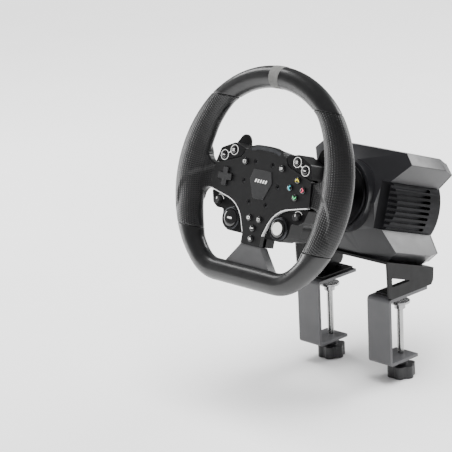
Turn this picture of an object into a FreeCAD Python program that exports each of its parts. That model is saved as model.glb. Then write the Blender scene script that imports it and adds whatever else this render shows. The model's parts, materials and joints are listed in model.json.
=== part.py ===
import FreeCAD, Part
import math
import os

import Sketcher

"""Desk-clamped racing wheel: flat-bottomed rim, button box, quick release, motor base and clamps.

Row frame: millimetres, +Z up, the driver sits towards -Y.  The origin is on the desk's front top edge,
midway between the two clamps: the jaws rest on the plane Z = 0 and the clamp spines touch Y = 0.

Head frame: everything above the bracket leans back by the tilt angle.  Its origin is the middle of the
faceplate, x points to the driver's right, y up in the plane of the rim and z along the steering axis,
towards the driver.
"""

V = FreeCAD.Vector
X_AXIS = V(1, 0, 0)
Y_AXIS = V(0, 1, 0)
Z_AXIS = V(0, 0, 1)
SIDES = (("left", -1), ("right", 1))

SIZES = {
    # stance of the head on the desk
    "hub_reach": 140.0, "hub_rise": 171.0, "tilt": 18.0,
    # rim
    "rim_radius": 126.7, "rim_tube": 13.3, "rim_depth": 2.0, "rim_flat": 111.0, "rim_corner": 45.0,
    "seam_upper": 46.0, "seam_lower": 41.0, "grip_bulge": 17.0, "marker_angle": 6.8, "marker_skin": 1.0,
    "marker_proud": 0.3,
    # wheel frame plate
    "frame_front": 6.0, "frame_thick": 5.0, "ring_half": 6.5, "spoke_top": 11.0, "spoke_low": 13.0,
    "cover_over": 2.0, "cover_reach": 104.0, "lower_spoke_top": 19.0, "lower_spoke_foot": 38.0,
    "lower_cover_front": 1.0, "lower_cover_back": 14.0, "web_front": 1.5, "web_back": 14.0,
    "web_fillet": 9.0,
    # faceplate and hub housing
    "face_thick": 3.0, "column_half": 15.4, "column_end": 73.7, "strip_width": 2.2, "strip_front": 0.3,
    "housing_back": 25.0, "housing_wall": 2.5, "pod_gap": 0.4, "pod_bore_depth": 8.0,
    "screw_circle": 27.6, "screw_head": 2.8, "screw_shank": 1.5, "screw_end": 13.0, "head_depth": 1.8,
    "badge_thick": 0.6, "arch_bar_depth": 1.5,
    # buttons
    "button_radius": 4.0, "button_gap": 0.3, "button_rise": 1.6, "button_flange": 4.9,
    "button_travel": 0.8, "face_spacing": 10.3, "cross_arm": 11.0, "cross_half": 3.8, "cross_gap": 0.5,
    "round_radius": 10.5, "round_depth": 11.0, "bezel_radius": 14.0, "barrel_back": 45.0,
    "lower_pod_drop": 3.0, "dial_radius": 4.5, "dial_shaft": 2.5, "running_gap": 0.06,
    # paddles
    "paddle_front": 30.5, "paddle_thick": 2.5, "paddle_pin": 1.5, "paddle_pin_x": 42.0,
    "paddle_barrel": 3.2, "paddle_barrel_half": 11.5, "lug_thick": 4.0,
    # quick release and shaft
    "adapter_radius": 30.0, "adapter_flange": 36.0, "adapter_back": 62.0, "release_radius": 33.0,
    "release_back": 92.0, "collar_radius": 39.0, "collar_gap": 0.3, "collar_front": 66.0,
    "collar_length": 18.0, "shaft_radius": 15.0, "shaft_flange": 31.0, "shaft_flange_thick": 6.0,
    # base
    "base_drop": 3.0, "base_half": 67.0, "base_corner": 67.0, "wing_tip": 79.5, "wing_rise": 54.0,
    "recess_x": 60.0, "recess_half": 29.5, "side_wall_x": 50.0, "apex_depth": 142.9, "base_back": 258.0,
    "rear_chamfer": 242.0, "cover_thick": 4.0, "neck_radius": 46.0, "neck_front": 144.0,
    "ring_length": 6.0, "motor_radius": 47.0, "motor_front": 174.0, "stator_inner": 36.0,
    "magnet_gap": 0.5, "bearing_radius": 24.0, "bearing_width": 12.0, "fin_radius": 66.0,
    "fin_pitch": 6.9, "fin_slot": 3.6, "fin_depth": 8.0, "fin_front": 168.0, "fin_back": 240.0,
    "panel_gap": 0.2, "vent_half": 27.0, "vent_thick": 2.0, "vent_front": 182.0, "vent_back": 236.0,
    "power_radius": 6.0, "power_travel": 1.5, "power_rise": 26.0,
    # bracket and clamps
    "bracket_half": 77.0, "bracket_sheet": 3.0, "bracket_front": 164.0, "bracket_back": 256.0,
    "clamp_sheet": 4.0, "clamp_width": 36.0, "clamp_drop": 83.0, "clamp_depth": 52.4, "jaw_depth": 68.7,
    "clamp_bend": 5.0, "rod_radius": 4.0, "rod_inset": 36.6, "pad_top": 9.0, "pad_radius": 13.0,
    "pad_thick": 3.5, "pad_boss": 7.0, "pad_boss_length": 7.0, "knob_gap": 2.0, "knob_hub": 8.0,
    "knob_hub_length": 8.0, "knob_radius": 18.0, "knob_length": 16.0, "knob_lobe": 6.5,
    "bracket_screw": 2.5, "bracket_screw_head": 4.4,
}

MENU_BUTTONS = (30.0, 22.3)
POD_BUTTONS = {"outer": (66.0, 25.0), "inner": (51.5, 33.0)}
FACE_CENTRE = (57.5, 2.3)
FACE_DIRECTIONS = {"top": (0, 1), "left": (-1, 0), "right": (1, 0), "bottom": (0, -1)}
CROSS_CENTRE = (-58.5, 0.2)
COLUMN_BUTTONS = {"left": (-8.2, -42.0), "right": (8.2, -42.0), "middle": (0.0, -53.5),
                  "bottom": (0.0, -66.0)}
DIAL_CENTRE = (64.5, -29.5)
ROUND_CENTRE = (39.2, -47.4)
STRIP_START = (77.5, -16.6)
STRIP_CORNER = (28.7, -27.0, 40.0)
STRIP_END = (15.5, -60.0)
GRIP_STATIONS = ((0.0, 0.0), (0.1, 0.3), (0.23, 0.66), (0.4, 0.95), (0.55, 1.0), (0.7, 0.93), (0.82, 0.66),
                 (0.92, 0.3), (1.0, 0.0))
FACET_SLOPE = (0.177, 0.318)
CREST_SLOPE = 0.61
CREST_DEPTH = 170.0


def build_sheet(doc):
    """The spreadsheet that holds every driving dimension, one alias a row."""
    sheet = doc.addObject("Spreadsheet::Sheet", "Sizes")
    for row, (alias, value) in enumerate(SIZES.items(), start=1):
        sheet.set("A%d" % row, alias)
        sheet.set("B%d" % row, str(value))
        sheet.setAlias("B%d" % row, alias)
    doc.recompute()
    return sheet


doc = FreeCAD.newDocument("RacingWheel")
sheet = build_sheet(doc)


def size(alias):
    """Value of one driving dimension, in millimetres or degrees."""
    return float(sheet.get(alias))


def head_place(x=0.0, y=0.0, z=0.0):
    """Placement of a piece whose own origin is at (x, y, z) of the head frame."""
    lean = FreeCAD.Placement(V(0, -size("hub_reach"), size("hub_rise")),
                             FreeCAD.Rotation(X_AXIS, 90.0 - size("tilt")))
    return lean.multiply(FreeCAD.Placement(V(x, y, z), FreeCAD.Rotation()))


def head_to_row(y, z):
    """Row-frame (Y, Z) of a head-frame point (y, z)."""
    lean = math.radians(size("tilt"))
    reach = -size("hub_reach") + y * math.sin(lean) - z * math.cos(lean)
    rise = size("hub_rise") + y * math.cos(lean) + z * math.sin(lean)
    return reach, rise


# ---------------------------------------------------------------- outlines

def mirrored(half):
    """Closed outline from its right half, listed from the top of the centre line down to its foot."""
    left = [(-p[0],) + tuple(p[1:]) for p in reversed(half) if abs(p[0]) > 1e-6]
    return list(half) + left


def flipped(points, side):
    """The outline on the right as it is, or mirrored for the left."""
    return [(side * p[0],) + tuple(p[1:]) for p in points]


def corner_arc(before, corner, after, radius):
    """Ends and middle of the arc of a radius that rounds one corner."""
    to_before = (before - corner).normalize()
    to_after = (after - corner).normalize()
    half_angle = to_before.getAngle(to_after) / 2.0
    bisector = (to_before + to_after).normalize()
    length = radius / math.tan(half_angle)
    centre = corner + bisector * (radius / math.sin(half_angle))
    return corner + to_before * length, centre - bisector * radius, corner + to_after * length


def rounded_edges(points):
    """Lines and arcs of a closed outline; a point is (x, y) or (x, y, corner radius)."""
    corners = [V(p[0], p[1], 0) for p in points]
    stops = []
    for index, point in enumerate(points):
        if len(point) > 2:
            after = corners[(index + 1) % len(points)]
            stops.append(corner_arc(corners[index - 1], corners[index], after, point[2]))
        else:
            stops.append((corners[index],))
    edges = []
    for index, stop in enumerate(stops):
        if len(stop) == 3:
            edges.append(Part.Arc(*stop))
        following = stops[(index + 1) % len(stops)][0]
        if stop[-1].distanceToPoint(following) > 1e-6:
            edges.append(Part.LineSegment(stop[-1], following))
    return edges


def rim_curve(offset):
    """Centre line of the flat-bottomed rim, moved outwards by an offset: big arc, corners and flat."""
    radius = size("rim_radius") + offset
    corner = size("rim_corner") + offset
    flat = size("rim_flat") + offset
    centre_y = corner - flat
    centre_x = math.sqrt((radius - corner) ** 2 - centre_y ** 2)
    start = math.atan2(centre_y, centre_x)
    down = -math.pi / 2.0
    big = Part.ArcOfCircle(Part.Circle(V(), Z_AXIS, radius), start, math.pi - start)
    left = Part.ArcOfCircle(Part.Circle(V(-centre_x, centre_y, 0), Z_AXIS, corner), math.pi - start,
                            -down * 3)
    bottom = Part.LineSegment(V(-centre_x, -flat, 0), V(centre_x, -flat, 0))
    right = Part.ArcOfCircle(Part.Circle(V(centre_x, centre_y, 0), Z_AXIS, corner), down, start)
    return [big, left, bottom, right]


def strip_points(offset):
    """The lower edge of the faceplate on the right, moved down and outwards by an offset."""
    start, corner, end = (V(p[0], p[1], 0) for p in (STRIP_START, STRIP_CORNER, STRIP_END))
    first = (corner - start).normalize()
    second = (end - corner).normalize()
    first_out = V(-first.y, first.x, 0)
    second_out = V(-second.y, second.x, 0)
    bisector = (first_out + second_out).normalize()
    miter = offset / bisector.dot(first_out)
    moved = corner + bisector * miter
    start = start + first_out * offset
    end = end + second_out * offset
    return [(start.x, start.y), (moved.x, moved.y, STRIP_CORNER[2] - offset), (end.x, end.y)]


def face_half():
    """Right half of the faceplate's outline, from the arch at the top to the foot of the column."""
    column = size("column_half")
    foot = size("column_end")
    edge = strip_points(0.0)
    return [(0.0, 45.0), (15.0, 44.6, 40.0), (27.5, 40.6, 2.0), (28.6, 37.4, 1.0), (33.0, 36.6, 1.5),
            (37.4, 26.8, 6.0), (64.0, 18.4, 30.0), (78.0, 14.3, 2.0), (81.6, -15.4, 2.0)] + edge + [
            (column, -64.0, 8.0), (column, -foot)]


def pod_outline():
    """Outline of the button pod on the upper right, a gap away from the faceplate."""
    gap = size("pod_gap")
    return [(33.6, 37.0 + gap, 1.0), (52.0, 42.0, 3.0), (73.0, 33.0, 3.0), (77.6, 18.0, 3.0),
            (78.0, 14.8 + gap, 0.8), (64.0, 18.9 + gap, 30.0), (38.2, 27.0 + gap, 6.0)]


def lower_pod_outline():
    """Outline of the lower thumb pod on the right, along the light strip and round the big button."""
    edge = strip_points(size("strip_width"))
    start, corner, end = edge
    return [start, (79.0, -20.0, 2.0), (74.5, -33.5, 4.0), (67.0, -38.5, 4.0), (56.0, -38.5, 3.0),
            (54.0, -54.0, 10.0), (44.0, -62.5, 8.0), (20.0, -62.5, 1.0), end, corner]


# ---------------------------------------------------------------- feature helpers

def new_body(label, place=None):
    """An empty PartDesign body with its label and placement."""
    body = doc.addObject("PartDesign::Body", label)
    body.Label = label
    body.Placement = place or FreeCAD.Placement()
    return body


def origin_plane(body, role):
    """One of the body's own origin planes."""
    return next(item for item in body.Origin.OriginFeatures if item.Role == role)


def add_sketch(body, role, edges, offset="0"):
    """A sketch on an origin plane, moved along its normal by an expression."""
    sketch = body.newObject("Sketcher::SketchObject", body.Label + "_sketch")
    sketch.AttachmentSupport = [(origin_plane(body, role), "")]
    sketch.MapMode = "FlatFace"
    sketch.setExpression("AttachmentOffset.Base.z", offset)
    for edge in edges:
        sketch.addGeometry(edge)
    return sketch


def add_circle(sketch, x, y, radius):
    """A circle held by its centre's place, with its radius bound to an expression."""
    index = sketch.addGeometry(Part.Circle(V(x, y, 0), Z_AXIS, 1.0))
    sketch.addConstraint(Sketcher.Constraint("DistanceX", -1, 1, index, 3, x))
    sketch.addConstraint(Sketcher.Constraint("DistanceY", -1, 1, index, 3, y))
    held = sketch.addConstraint(Sketcher.Constraint("Radius", index, 1.0))
    sketch.setExpression("Constraints[%d]" % held, radius)
    return index


def pad(body, sketch, length, midplane=False):
    """A pad along the sketch's normal, with its length bound to an expression."""
    feature = body.newObject("PartDesign::Pad", body.Label + "_pad")
    feature.Profile = sketch
    feature.setExpression("Length", length)
    feature.Midplane = midplane
    sketch.Visibility = False
    doc.recompute()
    return feature


def pocket(body, sketch, length):
    """A pocket along the sketch's normal that has to take volume away."""
    before = body.Shape.Volume
    feature = body.newObject("PartDesign::Pocket", body.Label + "_pocket")
    feature.Profile = sketch
    feature.setExpression("Length", length)
    feature.Reversed = True
    doc.recompute()
    if body.Shape.Volume > before - 1e-3:
        raise RuntimeError("pocket cut nothing in " + body.Label)
    return feature


def holes(body, centres, radius, offset, length, role="XY_Plane"):
    """Round pockets at a list of centres, upwards from the plane at an offset."""
    sketch = add_sketch(body, role, [], offset)
    for x, y in centres:
        add_circle(sketch, x, y, radius)
    return pocket(body, sketch, length)


def turned(label, place, profile):
    """A piece turned about its own z axis from a closed (radius, z) outline."""
    body = new_body(label, place)
    sketch = add_sketch(body, "XZ_Plane", rounded_edges(profile))
    feature = body.newObject("PartDesign::Revolution", label + "_turn")
    feature.Profile = sketch
    feature.ReferenceAxis = (sketch, ["V_Axis"])
    feature.Angle = 360.0
    doc.recompute()
    return body


def primitive(kind, name, place, **bound):
    """A Part primitive in place, each size bound to an expression."""
    item = doc.addObject("Part::" + kind, name)
    item.Placement = place
    for key, value in bound.items():
        item.setExpression(key, value)
    return item


def combine(kind, label, **links):
    """A Part boolean, compound or loft with its label."""
    item = doc.addObject("Part::" + kind, label)
    item.Label = label
    for key, value in links.items():
        setattr(item, key, value)
    doc.recompute()
    return item


def shaped(label, shape, place=None):
    """A piece whose shape is made with Part's own functions, then placed."""
    item = doc.addObject("Part::Feature", label)
    item.Label = label
    item.Shape = shape
    item.Placement = place or FreeCAD.Placement()
    return item


def prism(points, low, high):
    """Solid over an outline of the xy plane, from one height to another."""
    wire = Part.Wire([edge.toShape() for edge in rounded_edges(points)])
    face = Part.Face(wire)
    face.translate(V(0, 0, low))
    return face.extrude(V(0, 0, high - low))


def keep_below(shape, point, normal, reach=600.0):
    """The part of a shape that lies behind a plane."""
    box = Part.makeBox(reach, reach, reach, V(-reach / 2, -reach / 2, 0))
    box.Placement = FreeCAD.Placement(point, FreeCAD.Rotation(Z_AXIS, normal)).multiply(box.Placement)
    return shape.cut(box)


# ---------------------------------------------------------------- rim

def build_wheel_frame():
    """Flat plate with the ring, the side and lower spokes and the hub plate."""
    body = new_body("wheel_frame", head_place())
    back = "-Sizes.frame_front-Sizes.frame_thick"
    ring = add_sketch(body, "XY_Plane", rim_curve(size("ring_half")) + rim_curve(-size("ring_half")), back)
    pad(body, ring, "Sizes.frame_thick")
    reach = size("rim_radius")
    top = size("spoke_top")
    low = size("spoke_low")
    spokes = [(-reach, top, 0.5), (-80.0, top), (-76.0, 12.5), (-40.0, 24.0), (-26.0, 40.0), (26.0, 40.0),
              (40.0, 24.0), (76.0, 12.5), (80.0, top), (reach, top, 0.5), (reach, -low, 0.5),
              (79.0, -low), (42.0, -22.0, 20.0), (19.0, -46.0, 8.0), (13.0, -66.0), (13.0, -79.0, 10.0),
              (30.0, -size("rim_flat")), (-30.0, -size("rim_flat")), (-13.0, -79.0, 10.0), (-13.0, -66.0),
              (-19.0, -46.0, 8.0), (-42.0, -22.0, 20.0), (-79.0, -low), (-reach, -low, 0.5)]
    pad(body, add_sketch(body, "XY_Plane", rounded_edges(spokes), back), "Sizes.frame_thick")
    holes(body, screw_centres(), "Sizes.screw_shank", back, "Sizes.frame_thick")
    return body


def screw_centres():
    """The six screws round the badge."""
    spacing = math.radians(60.0)
    circle = size("screw_circle")
    return [(circle * math.cos(spacing * n), circle * math.sin(spacing * n)) for n in range(6)]


def rim_torus(name, tube, start, sweep):
    """Stretch of the round rim between two angles, with a tube radius given by an expression."""
    place = head_place(0, 0, -size("rim_depth"))
    place = place.multiply(FreeCAD.Placement(V(), FreeCAD.Rotation(Z_AXIS, start)))
    item = primitive("Torus", name, place, Radius1="Sizes.rim_radius", Radius2=tube)
    item.Angle3 = sweep
    return item


def build_upper_rim(frame):
    """Upper leather stretch of the rim and the marker band that is let into it at 12 o'clock."""
    half = size("marker_angle") / 2.0
    band = rim_torus("marker_outer", "Sizes.rim_tube+Sizes.marker_proud", 90.0 - half, 2.0 * half)
    core = rim_torus("marker_inner", "Sizes.rim_tube-Sizes.marker_skin", 89.0 - half, 2.0 * half + 2.0)
    marker = combine("Cut", "centre_marker", Base=band, Tool=core)
    start = size("seam_upper")
    tube = rim_torus("upper_tube", "Sizes.rim_tube", start, 180.0 - 2.0 * start)
    banded = combine("Cut", "upper_banded", Base=tube, Tool=marker)
    return [marker, combine("Cut", "rim_wrap_upper", Base=banded, Tool=frame)]


def build_lower_rim(frame):
    """Lower leather stretch, round both corners and along the flat."""
    big, left, bottom, right = rim_curve(0.0)
    seam = math.radians(size("seam_lower"))
    corner = -math.atan2(left.Center.y, -left.Center.x)
    circle = Part.Circle(V(), Z_AXIS, size("rim_radius"))
    run = [Part.ArcOfCircle(circle, math.pi + seam, math.pi + corner), left, bottom, right,
           Part.ArcOfCircle(circle, -corner, -seam)]
    path = Part.Wire([edge.toShape() for edge in run])
    start = path.OrderedVertexes[0].Point
    profile = Part.Wire(Part.makeCircle(size("rim_tube"), start, V(-start.y, start.x, 0)))
    tube = shaped("lower_tube", path.makePipeShell([profile], True, True),
                  head_place(0, 0, -size("rim_depth")))
    return combine("Cut", "rim_wrap_lower", Base=tube, Tool=frame)


def grip_section(side, name, part, share):
    """One oval section of a grip; its inner edge swells by a share of the bulge."""
    start = size("seam_upper")
    angle = start - part * (start + size("seam_lower"))
    if side < 0:
        angle = 180.0 - angle
    swell = share * size("grip_bulge") / 2.0
    turn = FreeCAD.Rotation(Z_AXIS, angle).multiply(FreeCAD.Rotation(X_AXIS, 90))
    place = head_place(0, 0, -size("rim_depth")).multiply(FreeCAD.Placement(V(), turn))
    place = place.multiply(FreeCAD.Placement(V(size("rim_radius") - swell, 0, 0), FreeCAD.Rotation()))
    half = "Sizes.rim_tube+%.4f*Sizes.grip_bulge" % (share / 2.0 + 1e-4)
    return primitive("Ellipse", name, place, MajorRadius=half, MinorRadius="Sizes.rim_tube")


def web_outline(side):
    """Outline of the wrapped web round a side spoke, filleted into the inner edge of the grip."""
    fillet = size("web_fillet")
    return flipped([(78.5, 13.6), (94.0, 14.6, fillet), (96.6, 30.0), (108.0, 30.0), (108.0, -33.0),
                    (96.6, -33.0), (94.0, -17.5, fillet), (82.2, -16.0)], side)


def build_grips(frame, housing):
    """The two moulded grips with their webs, slotted for the frame plate and the rear shell's arms."""
    made = []
    for name, side in SIDES:
        sections = []
        for part, share in GRIP_STATIONS:
            sections.append(grip_section(side, "grip_%s_section" % name, part, share))
        loft = combine("Loft", "grip_%s_loft" % name, Sections=sections, Solid=True, Ruled=False)
        web = new_body("grip_%s_web" % name, head_place())
        sketch = add_sketch(web, "XY_Plane", rounded_edges(web_outline(side)), "-Sizes.web_back")
        pad(web, sketch, "Sizes.web_back-Sizes.web_front")
        whole = combine("MultiFuse", "grip_%s_whole" % name, Shapes=[loft, web])
        tools = combine("MultiFuse", "grip_%s_tools" % name, Shapes=[frame, housing])
        made.append(combine("Cut", "grip_" + name, Base=whole, Tool=tools))
    return made


def build_lower_spoke(frame, wrap):
    """Moulded cover round the lower spoke, flaring into the lower stretch of the rim."""
    body = new_body("lower_spoke_cover", head_place())
    top = size("lower_spoke_top")
    foot = size("lower_spoke_foot")
    inner = size("rim_flat") - size("rim_tube") + 3.0
    start = size("column_end") + 0.3
    outline = [(-top + 3.0, -start), (top - 3.0, -start), (top, -start - 4.0), (foot, -inner, 2.0),
               (foot, -inner - 4.0), (-foot, -inner - 4.0), (-foot, -inner, 2.0), (-top, -start - 4.0)]
    sketch = add_sketch(body, "XY_Plane", rounded_edges(outline), "-Sizes.lower_cover_back")
    pad(body, sketch, "Sizes.lower_cover_back-Sizes.lower_cover_front")
    tools = combine("MultiFuse", "lower_spoke_tools", Shapes=[frame, wrap])
    return combine("Cut", "bottom_spoke_cover", Base=body, Tool=tools)


# ---------------------------------------------------------------- button box

def spoke_back_outline(side, inner):
    """Outline of the rear shell's arm behind a side spoke, from the button box into the grip."""
    over = size("cover_over")
    reach = size("cover_reach")
    top = size("spoke_top") + over
    low = -size("spoke_low") - over
    return flipped([(inner, top), (reach, top + 3.0), (reach, low - 3.0), (inner, low)], side)


def build_faceplate():
    """Front plate of the button box, a shallow tray with the holes for its buttons and screws."""
    body = new_body("faceplate", head_place())
    outline = rounded_edges(mirrored(face_half()))
    pad(body, add_sketch(body, "XY_Plane", outline, "-Sizes.frame_front"), "Sizes.frame_front")
    wall = size("cover_over")
    edge = strip_points(-wall)
    cavity = mirrored([(0.0, 42.0), (23.0, 38.6, 2.0), (30.0, 34.5, 2.0), (35.0, 25.6, 4.0),
                       (63.5, 16.6, 20.0),
                       (76.0, 12.6, 2.0), (78.6, -13.4, 2.0), (edge[0][0] - 3.0, edge[0][1]), edge[1],
                       (edge[2][0], edge[2][1]), (12.8, -66.0), (12.8, -71.6)])
    pocket(body, add_sketch(body, "XY_Plane", rounded_edges(cavity), "-Sizes.frame_front"),
           "Sizes.frame_front-Sizes.face_thick")
    holes(body, plate_button_centres(), "Sizes.button_radius+Sizes.button_gap", "-Sizes.frame_front",
          "Sizes.frame_front")
    holes(body, screw_centres(), "Sizes.screw_shank", "-Sizes.frame_front", "Sizes.frame_front")
    holes(body, screw_centres(), "Sizes.screw_head", "-Sizes.head_depth", "Sizes.head_depth")
    gap = size("cross_gap")
    cross = cross_outline(size("cross_arm") + gap, size("cross_half") + gap, CROSS_CENTRE)
    pocket(body, add_sketch(body, "XY_Plane", rounded_edges(cross), "-Sizes.frame_front"),
           "Sizes.frame_front")
    pocket(body, add_sketch(body, "XY_Plane", rounded_edges(arch_outline()), "-Sizes.arch_bar_depth"),
           "Sizes.arch_bar_depth")
    screw_bosses(body)
    return body


def screw_bosses(body):
    """Sleeves behind the faceplate that the screws clamp down on the frame plate."""
    sketch = add_sketch(body, "XY_Plane", [], "-Sizes.frame_front")
    for x, y in screw_centres():
        add_circle(sketch, x, y, "Sizes.screw_shank")
        add_circle(sketch, x, y, "Sizes.screw_shank+1.6")
    pad(body, sketch, "Sizes.frame_front-Sizes.face_thick")


def plate_button_centres():
    """Centres of the round buttons that come through the faceplate."""
    spacing = size("face_spacing")
    x, y = MENU_BUTTONS
    centres = [(-x, y), (x, y)] + list(COLUMN_BUTTONS.values())
    for dx, dy in FACE_DIRECTIONS.values():
        centres.append((FACE_CENTRE[0] + dx * spacing, FACE_CENTRE[1] + dy * spacing))
    return centres


def cross_outline(arm, half, centre):
    """A plus-shaped outline with slightly rounded ends."""
    quarter = [(half, arm, 1.0), (half, half), (arm, half, 1.0)]
    points = []
    for turn in range(4):
        angle = -math.radians(90.0 * turn)
        for point in quarter:
            x = point[0] * math.cos(angle) - point[1] * math.sin(angle)
            y = point[0] * math.sin(angle) + point[1] * math.cos(angle)
            points.append((centre[0] + x, centre[1] + y) + tuple(point[2:]))
    return points


def arch_outline():
    """The glossy bar let into the arch at the top of the faceplate."""
    return mirrored([(0.0, 43.2), (14.5, 42.9, 40.0), (24.0, 39.6, 0.8), (23.2, 35.8, 0.8),
                     (13.0, 38.6, 40.0),
                     (0.0, 38.9)])


def build_hub_housing():
    """Rear shell of the button box with the upper pods, the spoke backs and the paddle lugs."""
    body = new_body("hub_housing", head_place())
    split = "-Sizes.frame_front-Sizes.frame_thick"
    depth = "Sizes.housing_back-Sizes.frame_front-Sizes.frame_thick"
    back = rounded_edges(mirrored(back_half()))
    pad(body, add_sketch(body, "XY_Plane", back, "-Sizes.housing_back"), depth)
    for _name, side in SIDES:
        pod = rounded_edges(flipped(pod_outline(), side))
        pad(body, add_sketch(body, "XY_Plane", pod, "-Sizes.housing_back"), "Sizes.housing_back")
        cover = rounded_edges(spoke_back_outline(side, 70.0))
        pad(body, add_sketch(body, "XY_Plane", cover, split + "-6"), "6")
    cavity = mirrored([(0.0, 37.0), (22.0, 36.0, 3.0), (30.0, 22.0, 3.0), (70.0, 9.0, 3.0),
                       (72.0, -11.0, 3.0),
                       (36.0, -18.0, 6.0), (15.0, -46.0, 6.0), (11.0, -70.0, 2.0), (0.0, -70.0)])
    pocket(body, add_sketch(body, "XY_Plane", rounded_edges(cavity),
                            "-Sizes.housing_back+Sizes.housing_wall"),
           depth + "-Sizes.housing_wall")
    pod_holes = [(side * x, y) for _name, side in SIDES for x, y in POD_BUTTONS.values()]
    holes(body, pod_holes, "Sizes.button_radius+Sizes.button_gap", "-Sizes.pod_bore_depth",
          "Sizes.pod_bore_depth")
    screw_posts(body)
    lugs = paddle_lugs()
    return combine("MultiFuse", "hub_housing_shell", Shapes=[body] + lugs)


def back_half():
    """Right half of the rear shell's outline."""
    column = size("column_half")
    edge = strip_points(0.0)
    return [(0.0, 42.5), (25.0, 39.5, 3.0), (33.6, 37.4, 1.0), (52.0, 42.0, 3.0), (73.0, 33.0, 3.0),
            (77.6, 18.0, 3.0), (78.5, 12.0), (78.5, -14.0, 2.0)] + edge[1:] + [
            (column, -64.0, 8.0), (column, -size("column_end"))]


def screw_posts(body):
    """Posts inside the rear shell that take the ends of the screws."""
    sketch = add_sketch(body, "XY_Plane", [], "-Sizes.housing_back")
    for x, y in screw_centres():
        add_circle(sketch, x, y, "Sizes.screw_shank+2")
    pad(body, sketch, "Sizes.housing_back-Sizes.frame_front-Sizes.frame_thick")
    holes(body, screw_centres(), "Sizes.screw_shank", "-Sizes.screw_end",
          "Sizes.screw_end-Sizes.frame_front-Sizes.frame_thick")


def paddle_lugs():
    """Two lugs and a pin on each side of the rear shell, for the paddle to turn on."""
    made = []
    lug = size("lug_thick")
    half = size("paddle_barrel_half") + size("button_gap")
    deep = paddle_axis_depth() + size("paddle_barrel")
    for name, side in SIDES:
        x = side * size("paddle_pin_x")
        for low in (half, -half - lug):
            block = primitive("Box", "lug_" + name, head_place(x - 4.0, low, -deep),
                              Width="Sizes.lug_thick")
            block.Length = 8.0
            block.Height = deep - size("housing_back")
            made.append(block)
        place = head_place(x, -half - lug, -paddle_axis_depth())
        place = place.multiply(FreeCAD.Placement(V(), FreeCAD.Rotation(X_AXIS, -90)))
        pin = primitive("Cylinder", "paddle_pin_" + name, place, Radius="Sizes.paddle_pin")
        pin.Height = 2.0 * (half + lug)
        made.append(pin)
    return made


def paddle_axis_depth():
    """Depth of the paddle pins behind the faceplate."""
    return size("paddle_front") + size("paddle_thick") / 2.0


def build_badge():
    """Plain shield-shaped badge on the middle of the faceplate."""
    body = new_body("badge", head_place())
    shield = mirrored([(0.0, 15.9), (14.2, 15.6, 1.5), (18.0, 3.0, 3.0), (8.4, -18.4, 1.5), (0.0, -18.6)])
    pad(body, add_sketch(body, "XY_Plane", rounded_edges(shield)), "Sizes.badge_thick")
    return body


def build_light_guides():
    """The light strips along the lower edge of the faceplate and the bar in its arch."""
    made = []
    width = size("strip_width")
    for name, side in SIDES:
        inner = strip_points(0.0)
        outer = strip_points(width)
        body = new_body("strip_" + name, head_place())
        outline = flipped(inner + list(reversed(outer)), side)
        sketch = add_sketch(body, "XY_Plane", rounded_edges(outline), "-Sizes.frame_front")
        pad(body, sketch, "Sizes.frame_front-Sizes.strip_front")
        made.append(body)
    bar = new_body("arch_bar", head_place())
    pad(bar, add_sketch(bar, "XY_Plane", rounded_edges(arch_outline()), "-Sizes.arch_bar_depth"),
        "Sizes.arch_bar_depth")
    return combine("Compound", "light_guides", Links=made + [bar])


def build_hub_screws():
    """Six screws that hold the faceplate and the frame plate on the rear shell."""
    made = []
    for number, (x, y) in enumerate(screw_centres()):
        place = head_place(x, y, -size("head_depth"))
        head = primitive("Cylinder", "hub_head_%d" % number, place, Radius="Sizes.screw_head",
                         Height="Sizes.head_depth-0.2")
        shank = primitive("Cylinder", "hub_shank_%d" % number, head_place(x, y, -size("screw_end")),
                          Radius="Sizes.screw_shank", Height="Sizes.screw_end-Sizes.head_depth")
        made.append(combine("Fuse", "hub_screw_%d" % number, Base=head, Tool=shank))
    return combine("Compound", "hub_screws", Links=made)


def build_lower_pods():
    """The two thumb pods with the long barrel behind each big round button."""
    made = []
    for name, side in SIDES:
        body = new_body("lower_pod_" + name, head_place())
        outline = rounded_edges(flipped(lower_pod_outline(), side))
        pad(body, add_sketch(body, "XY_Plane", outline, "-Sizes.housing_back"),
            "Sizes.housing_back-Sizes.lower_pod_drop")
        barrel = add_sketch(body, "XY_Plane", [], "-Sizes.barrel_back")
        centre = (side * ROUND_CENTRE[0], ROUND_CENTRE[1])
        add_circle(barrel, centre[0], centre[1], "Sizes.bezel_radius")
        pad(body, barrel, "Sizes.barrel_back-0.5")
        holes(body, [centre], "Sizes.round_radius+Sizes.button_gap", "-Sizes.round_depth",
              "Sizes.round_depth")
        holes(body, [(side * DIAL_CENTRE[0], DIAL_CENTRE[1])], "Sizes.dial_shaft+Sizes.running_gap",
              "-Sizes.lower_pod_drop-6", "6")
        made.append(body)
    return made


# ---------------------------------------------------------------- controls

def plate_button(label, x, y):
    """Round button with a flange behind the faceplate and a short plunger."""
    radius = size("button_radius")
    back = size("face_thick") + 0.2
    rise = size("button_rise")
    profile = [(0, -back - 1.8), (1.5, -back - 1.8), (1.5, -back - 1.0),
               (size("button_flange"), -back - 1.0),
               (size("button_flange"), -back), (radius, -back), (radius, rise, 0.9), (0, rise + 0.3)]
    return turned(label, head_place(x, y, 0), profile)


def pod_button(label, x, y):
    """Round button that slides in a blind bore of a pod."""
    radius = size("button_radius")
    deep = size("pod_bore_depth") - size("button_travel") - 0.4
    rise = size("button_rise") - 0.4
    return turned(label, head_place(x, y, 0), [(0, -deep), (radius, -deep), (radius, rise, 0.9),
                                               (0, rise + 0.3)])


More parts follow.
